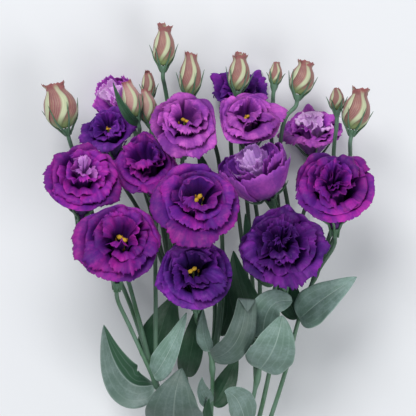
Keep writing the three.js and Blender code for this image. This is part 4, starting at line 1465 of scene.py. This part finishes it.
@dataclass
class Stem(Part):
    """One cut stem with its branches, each ending in a bloom or a bud."""

    row: Row
    slot: int
    points: list[Vector]
    head: str
    branches: list[Branch]
    shoots: list[Strand] = field(default_factory=list)

    KIND = "stem"
    DIGITS = 1
    STATIONS, CUP_STATIONS = 90, 12
    SPLAY = 1.8                      # how much further apart stems are at their cut ends
    SWELL, SWELL_REACH = 0.28, 4.0   # how far a shoot swells where a branch leaves it
    BACKS = (1.6, 0.5)               # points behind a head, in calyx lengths
    GAP = 0.35                       # from a shoot's end to its head
    BUD_CALYX = (0.6, 0.8)           # a bud's calyx: its length and radius in parts of a bloom's

    def grow(self, heads: dict[str, Bloom | Bud]) -> None:
        """Lays the paths of the main shoot and its branches.

        Args:
            heads: The blooms and buds by name.
        """
        x, z = TIE_X + SLOT_PITCH * self.slot, self.row.value
        grip = [(mix(TIE_X, x, self.SPLAY), CUT_END_Y, z), (x, TIE_Y - TIE_WIDTH, z),
                (x, TIE_Y, z), (x, TIE_Y + TIE_WIDTH, z)]
        points = list(np.array(self.points, float))
        nodes = [mix(points[branch.leaves], points[branch.leaves - 1], 0.04 * (order + 1))
                 for order, branch in enumerate(self.branches)]
        self._shoot([*grip, *points], heads[self.head], MAIN_STEM_RADIUS - 0.15, nodes)
        for node, branch in zip(nodes, self.branches):
            self._shoot([node, *branch.points], heads[branch.head], 1.1 * BRANCH_RADIUS, [])

    def _shoot(self, points: Sequence[Array | Vector], head: Bloom | Bud, thick: float,
               nodes: Sequence[Array]) -> None:
        """Lays one shoot and its calyx.

        Args:
            points: The points that it runs through before its head.
            head: The bloom or bud at its end.
            thick: Its radius at the start.
            nodes: Where branches leave it, and where it swells.
        """
        if isinstance(head, Bud):
            seat, towards = np.array(head.foot), head.forward
            calyx, swell = self.BUD_CALYX
        else:
            seat, ahead = head.point([0.0, 0.0], 0.0, [0.0, 2.0])
            towards, calyx, swell = unit(ahead - seat), 1.0, 1.0
        long = calyx * CALYX_LENGTH
        backs = [share * long for share in self.BACKS] + [self.GAP]
        path = Path([*points, *(seat - towards * distance for distance in backs)])
        neck = 1 - long / path.length
        thin = np.linspace(0, neck, self.STATIONS)
        cup = np.linspace(neck, 1, self.CUP_STATIONS)[1:]
        radii = mix(thick, BRANCH_RADIUS, ease(0.0, 0.8 * neck, thin))
        centres = path.at(thin)
        for node in nodes:
            away = np.linalg.norm(centres - node, axis=1)
            radii = radii * (1 + self.SWELL * bump(away, self.SWELL_REACH))
        grown = np.minimum((cup - neck) / (1 - neck), 1)
        wider = mix(BRANCH_RADIUS, swell * CALYX_RADIUS, np.sin(grown * 1.57) ** 1.3)
        self.shoots.append(Strand(path.at(np.concatenate([thin, cup])),
                                  np.concatenate([radii, wider])))

    def build(self, sweep: Sweep, heads: dict[str, Bloom | Bud], palette: Palette) -> None:
        """Builds and dresses the stem with its heads' sepals.

        Args:
            sweep: The tree that sweeps stems.
            heads: The blooms and buds by name.
            palette: The materials.
        """
        strands = list(self.shoots)
        for head in [self.head, *(branch.head for branch in self.branches)]:
            strands += heads[head].sepals()
        piece = sweep.piece(f"{self.name}.shoots", strands, palette[Finish.STEM])
        place_piece(piece, self.name)


# ------------------------------------------------------------------ leaves
@dataclass
class Leaf(Part):
    """One leaf: where it leaves its stem, how it bends and the way its face looks."""

    stem: int
    foot: Vector
    bend: Vector
    tip: Vector
    half: float
    looks: Vector
    cup: float
    finish: Finish
    fold: float = 0.0                # how steeply it folds along its midrib
    light: float = 0.5               # how light its colour is made, 0 to 1
    blunt: float = 0.0               # how round its tip is
    folded: float = 1.0              # where along it the tip folds over
    seat: Array | None = None

    KIND = "leaf"
    ACROSS, ALONG = 20, 44           # faces of the blade
    SHELL = (0.55, 0.6, 8)           # the blade's thickness, thinning and sharpness
    FOOT_WIDTH, TIP_WIDTH = 1.4, 0.25

    def sit(self, stem: Stem) -> None:
        """Seats the leaf's foot on the surface of the shoot that passes nearest.

        Args:
            stem: The stem that the leaf grows on.
        """
        points = np.concatenate([strand.points for strand in stem.shoots])
        radii = np.concatenate([strand.radii for strand in stem.shoots])
        nearest = int(np.argmin(np.linalg.norm(points - np.array(self.foot), axis=1)))
        place = points[nearest]
        along = unit(points[min(nearest + 1, len(points) - 1)] - points[nearest - 1])
        out = np.array(self.bend) - place
        out = unit(out - along * (out @ along))
        self.seat = place + out * (radii[nearest] - 0.1)

    def sheet(self) -> Sheet:
        """Shapes the blade.

        Returns:
            Its middle points, and their u and v.
        """
        u, v = surface_grid(self.ACROSS, self.ALONG)
        run = v ** 1.25
        bend, tip = np.array(self.bend, float), np.array(self.tip, float)
        over = np.maximum(run - self.folded, 0.0)
        t = ((run - 1.35 * over) / self.folded)[..., None]
        first, second = mix(self.seat, bend, t), mix(bend, tip, t)
        along = unit(second - first)
        side = unit(np.cross(along, self.looks))
        face = np.cross(side, along)
        outline = np.sin(math.pi * run ** 0.62) ** (0.8 - self.blunt)
        half = self.half * outline + mix(self.FOOT_WIDTH, self.TIP_WIDTH, run)
        centre = mix(first, second, t)
        step = np.linalg.norm(np.gradient(centre, axis=0), axis=-1)
        bent = (np.gradient(along, axis=0) * side).sum(-1) / np.maximum(step, 1e-6)
        tight = np.maximum(0.0, bent * np.sign(u) * half)
        half = half / np.cbrt(1 + (tight / 0.65) ** 3)
        seed = 17.0 * self.number
        wave = 0.08 * half * np.sin(9 * run + 2.5 * u) * u * u
        ripple = 0.045 * half * np.sin(23 * run + seed + 2 * np.sign(u)) * np.abs(u) ** 3
        crease = 0.7 * bump(u, 0.1) * ease(0.0, 0.2, run) * (1 - 0.6 * run)
        ribs = 0.12 * np.cos(3 * math.pi * u) * outline
        rise = self.cup * half * u * u + self.fold * half * np.abs(u)
        rise += wave + ripple - crease + ribs + 1.6 * ease(0.0, 0.06, over) + 12 * over
        return centre + side * (u * half)[..., None] + face * rise[..., None], u, v

    def build(self, palette: Palette) -> None:
        """Builds and dresses the leaf.

        Args:
            palette: The materials.
        """
        draft = Draft(f"{self.name}.blade")
        tone = self.light + 0.2 * (draw(3.0 * self.number) - 0.5)
        draft.shell(self.sheet(), *self.SHELL, tone)
        place_piece(draft.finish(palette[self.finish]), self.name)


# ------------------------------------------------------------------ tie
@dataclass
class Tie:
    """The raffia wound round the stems, turn beside turn."""

    turns: int = 11
    radius: float = 0.95             # of a strand of raffia
    points: int = 72
    sides: int = 8
    corner: float = 0.42             # how square a turn is: 1 is round

    def _turn(self, place: float, seed: float, lift: float) -> Strand:
        """Lays one turn of raffia.

        Args:
            place: Where the turn lies along the band, -1 to 1.
            seed: What its small shifts are drawn from.
            lift: How far it lies out from the innermost turn.

        Returns:
            Its closed path.
        """
        angle = round_turn(self.points)
        wide = SLOT_PITCH + MAIN_STEM_RADIUS + CLEARANCE + 0.5 + lift
        high = ROW_PITCH / 2 + FLAT_SIDE + CLEARANCE + 0.45 + lift
        x, z = (half * np.sign(wave) * np.abs(wave) ** self.corner
                for half, wave in ((wide, np.cos(angle)), (high, np.sin(angle))))
        y = 0.5 * (TIE_WIDTH - 2.0) * place + 0.45 * np.sin(angle + TURN * draw(seed))
        middle = ROW_PITCH / 2 + FLAT_SIDE + CLEARANCE + TIE_THICKNESS
        return Strand(np.stack([TIE_X + x, TIE_Y + y, middle + z], -1),
                      self.radius * (0.85 + 0.3 * draw(seed + 0.3)), True)

    def build(self, sweep: Sweep, palette: Palette) -> None:
        """Builds and dresses the tie.

        Args:
            sweep: The tree that sweeps strands.
            palette: The materials.
        """
        strands = [self._turn(2 * k / (self.turns - 1) - 1, 7.0 * k, 0.35 * (k % 2))
                   for k in range(self.turns)]
        piece = sweep.piece("tie.raffia", strands, palette[Finish.RAFFIA], sides=self.sides)
        place_piece(piece, "tie")


# ------------------------------------------------------------------ the bunch
BLOOMS = [
    Bloom(1, (-105, 200, 105), (0.12, 0.48, 0.87), 36, 30, (0, -17, 0), 0.3, ROSE, Finish.MAGENTA,
          eye=(0, 7), pale=0.75, light=0.55),
    Bloom(2, (-54, 215, 80), (-0.15, 0.45, 0.88), 33, 27, (2, -14, 0), 1.1, EYED, Finish.MAGENTA,
          eye=(0, 4), ruffle=1.1, light=0.55),
    Bloom(3, (-87, 245, 56), (-0.1, 0.5, 0.86), 25, 24, (2, -12, 0), 0.7, WIDE, Finish.VIOLET,
          True, eye=(0, 3), light=0.8),
    Bloom(4, (-19, 247, 90), (0.08, 0.42, 0.9), 33, 27, (0, -9, 0), 0.2, EYED, Finish.LILAC, True,
          eye=(0, 7), ruffle=0.7),
    Bloom(5, (35, 252, 82), (0, 0.45, 0.89), 31, 26, (0, -14, 0), 1.5, EYED, Finish.LILAC, True,
          eye=(-2, 5), ruffle=0.7),
    Bloom(6, (92, 249, 25.4), (-0.1, 0.8, 0.6), 31, 25, (0, -8, 0), 0.9, EYED, Finish.LILAC,
          eye=(0, 2), ruffle=1.4, pale=1.1),
    Bloom(7, (-8, 180, 146), (0.03, 0.35, 0.94), 38, 31, (0, -9, 0), 1.57, EYED, Finish.MAGENTA,
          True, eye=(0, 7), ruffle=0.8),
    Bloom(8, (40, 212, 100), (-0.33, 0.8, 0.5), 31, 27, (4, -6, 0), 0.4, CUP, Finish.PLUM,
          ruffle=0.8, pale=0.7, light=0.75),
    Bloom(9, (107, 193, 104), (-0.05, 0.45, 0.89), 39, 32, (0, -18, 0), 0.8, ROSE, Finish.MAGENTA,
          eye=(-2, 8)),
    Bloom(10, (-75, 146, 134), (0.05, 0.36, 0.93), 39, 31, (0, -19, 0), 0.1, EYED, Finish.MAGENTA,
          True, eye=(4, 8)),
    Bloom(11, (-10, 122, 132), (0, 0.26, 0.97), 36, 30, (0, -17, 0), 1.3, EYED, Finish.VIOLET,
          True, eye=(-3, 5)),
    Bloom(12, (62, 144, 128), (-0.05, 0.42, 0.91), 40, 31, (0, -18, 0), 0.6, ROSE, Finish.VIOLET,
          eye=(-2, 5), ruffle=1.5, light=0.3),
    Bloom(13, (29, 282, 22), (0, 0.72, 0.69), 27, 24, (0, -6, 2), 0.5, WIDE, Finish.VIOLET, True,
          eye=(0, 2), ruffle=1.7, light=0.85),
    Bloom(14, (-82, 275, 21), (-0.45, 0.6, 0.66), 20, 22, (0, -4, 2), 0.2, CUP, Finish.LILAC,
          pale=1.2),
]
BUDS = [
    Bud(1, (-123, 246, 62), (-134, 285, 64), 13.5, 1),
    Bud(2, (-52, 272, 40), (-53, 297, 40), 5.8, 0),
    Bud(3, (-62, 256, 66), (-70, 285, 71), 7.8, 0.4, Finish.PALE_BUD),
    Bud(4, (-50, 251, 56), (-55, 279, 58), 7.6, 0.4, Finish.PALE_BUD),
    Bud(5, (-39, 301, 50), (-38, 336, 52), 8.8, 1),
    Bud(6, (-16, 275, 56), (-15, 311, 60), 8.8, 0.6),
    Bud(7, (26, 279, 57), (28, 311, 60), 8.6, 0.8),
    Bud(8, (58, 285, 48), (60, 304, 48), 5.4, 0.2),
    Bud(9, (79, 276, 50), (86, 306, 52), 9.6, 1),
    Bud(10, (112, 262, 56), (112, 281, 56), 6, 0),
    Bud(11, (124, 244, 78), (131, 279, 80), 10.8, 1),
]
STEMS = [
    Stem(1, Row.FRONT, -1, [(-20, -38, 42), (-47, 32, 82), (-66, 75, 91)], "bloom_10", [
        Branch(1, [(-60, 84, 78), (-78, 132, 66)], "bloom_01"),
        Branch(1, [(-45, 92, 72), (-46, 150, 50)], "bloom_02"),
        Branch(1, [(-66, 90, 66), (-97, 160, 46), (-114, 215, 50)], "bud_01")]),
    Stem(2, Row.FRONT, 0, [(2, -38, 46), (3, 47, 84), (-4, 70, 92)], "bloom_11", [
        Branch(1, [(9, 82, 82), (9, 116, 86), (-3, 138, 100)], "bloom_07"),
        Branch(1, [(6, 90, 70), (0, 150, 58), (-16, 195, 52)], "bloom_04"),
        Branch(1, [(12, 90, 62), (12, 160, 48), (8, 225, 42), (-6, 256, 48)], "bud_06")]),
    Stem(3, Row.BACK, 0, [(27, -40, 36), (44, 38, 74), (50, 76, 84)], "bloom_12", [
        Branch(1, [(54, 92, 68), (67, 150, 62)], "bloom_08"),
        Branch(1, [(45, 96, 58), (43, 170, 44)], "bloom_05"),
        Branch(1, [(36, 96, 50), (26, 180, 36), (20, 240, 40), (24, 264, 50)], "bud_07"),
        Branch(1, [(40, 90, 40), (36, 170, 15), (30, 225, 10)], "bloom_13")]),
    Stem(4, Row.BACK, 1, [(36, -40, 26), (54, 38, 58), (66, 110, 36), (86, 175, 17)], "bloom_06", [
        Branch(2, [(62, 180, 30), (56, 240, 32), (57, 270, 42)], "bud_08"),
        Branch(2, [(72, 160, 42), (63, 225, 44), (68, 256, 52)], "bud_09")]),
    Stem(5, Row.FRONT, 1, [(43, -38, 34), (67, 36, 66), (78, 80, 70), (94, 120, 62)], "bloom_09", [
        Branch(3, [(112, 175, 42), (110, 225, 46)], "bud_10"),
        Branch(3, [(122, 180, 46), (123, 222, 64)], "bud_11")]),
    Stem(6, Row.BACK, -1, [(-8, -40, 18), (-22, 40, 34), (-32, 104, 32), (-60, 172, 26)],
         "bloom_03", [
        Branch(2, [(-50, 170, 12), (-66, 226, 7)], "bloom_14"),
        Branch(2, [(-29, 180, 26), (-33, 250, 28), (-38, 284, 42)], "bud_05"),
        Branch(2, [(-38, 170, 20), (-49, 235, 24)], "bud_02"),
        Branch(2, [(-42, 170, 32), (-53, 214, 38), (-60, 240, 45)], "bud_03"),
        Branch(2, [(-36, 175, 38), (-43, 220, 38)], "bud_04")]),
]
# The dark leaves wear the painted-shade copy of the leaf finish.
GREY, FOLDED, SHADED = Finish.LEAF, Finish.FOLDED_LEAF, Finish.SHADED_LEAF
LEAVES = [
    Leaf(1, 1, (-46, 24, 72), (-79, 12, 52), (-89, 77, 82), 19, (0.05, 0, 1), 0.05, FOLDED, 0.5),
    Leaf(2, 1, (-44, 32, 85), (-34, 50, 112), (-18, 89, 108), 10, (-0.3, 0.1, 0.95), 0.2, GREY,
         light=0.95),
    Leaf(3, 1, (-44, 42, 69), (-45, 66, 44), (-29, 102, 56), 17, (0.2, 0, 0.98), 0.3, SHADED),
    Leaf(4, 1, (-27, -22, 60), (-33, 6, 126), (-22, 42, 104), 24, (-0.05, 0.3, 0.95), -0.12,
         GREY, light=0.05),
    Leaf(5, 2, (1, 54, 90), (-6, 70, 103), (-4, 91, 96), 6, (-0.4, 0, 0.9), 0.2, GREY),
    Leaf(6, 2, (6, 47, 90), (30, 55, 116), (32, 101, 108), 12.5, (0.35, -0.1, 0.93), 0.12, GREY,
         light=0.0, folded=0.74),
    Leaf(7, 3, (48, 66, 83), (46, 104, 114), (71, 98, 104), 14, (0, 0.2, 0.98), 0.15, GREY,
         light=0.6, blunt=0.3),
    Leaf(8, 3, (52, 35, 80), (58, 58, 126), (62, 87, 114), 19, (0.1, 0, 0.99), 0.12, GREY,
         light=0.75, blunt=0.12),
    Leaf(9, 5, (80, 81, 73), (92, 98, 98), (127, 118, 84), 15, (-0.1, 0.3, 0.95), 0.25, GREY,
         light=1.0),
    Leaf(10, 3, (33, -12, 54), (27, 20, 92), (14, 22, 100), 13, (0.3, 0, 0.95), 0.2, GREY),
    Leaf(11, 2, (0, 8, 73), (-10, 20, 92), (-5, 34, 100), 6, (0.6, -0.3, 0.74), 0.4, GREY),
    Leaf(12, 5, (78, 82, 66), (64, 103, 38), (70, 130, 56), 10, UPWARDS, 0.2, SHADED),
    Leaf(13, 3, (58, 110, 66), (36, 130, 86), (32, 172, 84), 8, UPWARDS, 0.2, SHADED),
    Leaf(14, 3, (46, 70, 78), (26, 100, 70), (22, 140, 72), 12, UPWARDS, 0.25, SHADED),
    Leaf(15, 2, (14, 64, 64), (20, 82, 46), (16, 112, 44), 7, UPWARDS, 0.3, SHADED),
    Leaf(16, 2, (-4, 186, 64), (4, 198, 84), (-10, 228, 66), 6.5, UPWARDS, 0.2, SHADED),
    Leaf(17, 6, (-61, 250, 66), (-72, 254, 94), (-81, 284, 84), 3, UPWARDS, 0.2, SHADED),
    Leaf(18, 6, (-18, 26, 50), (-13, 60, 70), (-6, 98, 64), 9.5, UPWARDS, 0.2, SHADED),
    Leaf(19, 2, (6, 10, 60), (16, 24, 70), (26, 50, 60), 9, UPWARDS, 0.2, SHADED),
    Leaf(20, 2, (-5, -14, 54), (-4, -4, 76), (1, 14, 82), 5, (0.3, 0, 0.95), 0.3, SHADED),
]


@dataclass
class Studio:
    """The floor, the lights and the camera."""

    eye: Vector = (0.0, 176.8, 1590.0)
    view_width: float = 353.6        # what the camera sees across at reach, in mm
    reach: float = 1500.0
    sensor: float = 36.0
    floor_half: float = 3.0          # in metres
    floor_colour: Colour = (0.80, 0.815, 0.835)
    sky_colour: Colour = (0.86, 0.89, 0.94)
    sky_strength: float = 0.36
    target: Vector = (0.0, 190.0, 60.0)         # what the lights shine at

    def floor(self) -> None:
        """Lays the pale floor under the bunch."""
        mesh = bpy.data.meshes.new("floor")
        h = self.floor_half
        mesh.from_pydata([(-h, -h, 0), (h, -h, 0), (h, h, 0), (-h, h, 0)], [], [(0, 1, 2, 3)])
        material = bpy.data.materials.new("pale floor")
        material.use_nodes = True
        Graph(material.node_tree).feed(material.node_tree.nodes["Principled BSDF"], {
            "Base Color": (*self.floor_colour, 1.0), "Roughness": 0.9})
        mesh.materials.append(material)
        floor = add_object("floor", mesh)

    def light(self, name: str, place: Vector, size: float, power: float) -> None:
        """Hangs a large soft light that shines at the blooms.

        Args:
            name: The light's name.
            place: Where it hangs, in metres from the blooms.
            size: The length of its side, in metres.
            power: Its power in watts.
        """
        lamp = bpy.data.lights.new(name, "AREA")
        lamp.shape, lamp.size, lamp.energy = "SQUARE", size, power
        holder = add_object(name, lamp)
        holder.location = placed(self.target) + np.array(place)
        towards = Direction(-np.array(place))
        holder.rotation_euler = towards.to_track_quat("-Z", "Y").to_euler()

    def build(self) -> None:
        """Sets the floor, the lights, the surroundings and the camera."""
        self.floor()
        self.light("key light", (-0.9, 1.8, 2.8), 1.7, 82.0)
        self.light("fill light", (1.6, -1.4, 2.4), 1.6, 38.0)
        world = bpy.data.worlds.new("studio")
        world.use_nodes = True
        Graph(world.node_tree).feed(world.node_tree.nodes["Background"], {
            "Color": (*self.sky_colour, 1.0), "Strength": self.sky_strength})
        bpy.context.scene.world = world
        camera = bpy.data.cameras.new("camera")
        camera.sensor_width = self.sensor
        camera.lens = self.sensor * self.reach / self.view_width
        holder = add_object("camera", camera)
        holder.location = placed(self.eye)
        bpy.context.scene.camera = holder


def main() -> None:
    """Builds the bunch, dresses it and sets the studio round it."""
    logging.basicConfig(level=logging.INFO, format="%(name)s: %(message)s")
    bpy.context.scene.view_settings.view_transform = "Standard"
    Studio().build()
    palette, sweep = Palette(), Sweep()
    heads: dict[str, Bloom | Bud] = {head.name: head for head in [*BLOOMS, *BUDS]}
    for bloom in BLOOMS:
        bloom.press_on(BLOOMS)
        bloom.build(sweep, palette)
    for bud in BUDS:
        bud.build(palette)
    for stem in STEMS:
        stem.grow(heads)
        stem.build(sweep, heads, palette)
    for leaf in LEAVES:
        leaf.sit(STEMS[leaf.stem - 1])
        leaf.build(palette)
    Tie().build(sweep, palette)


if __name__ == "__main__":
    main()
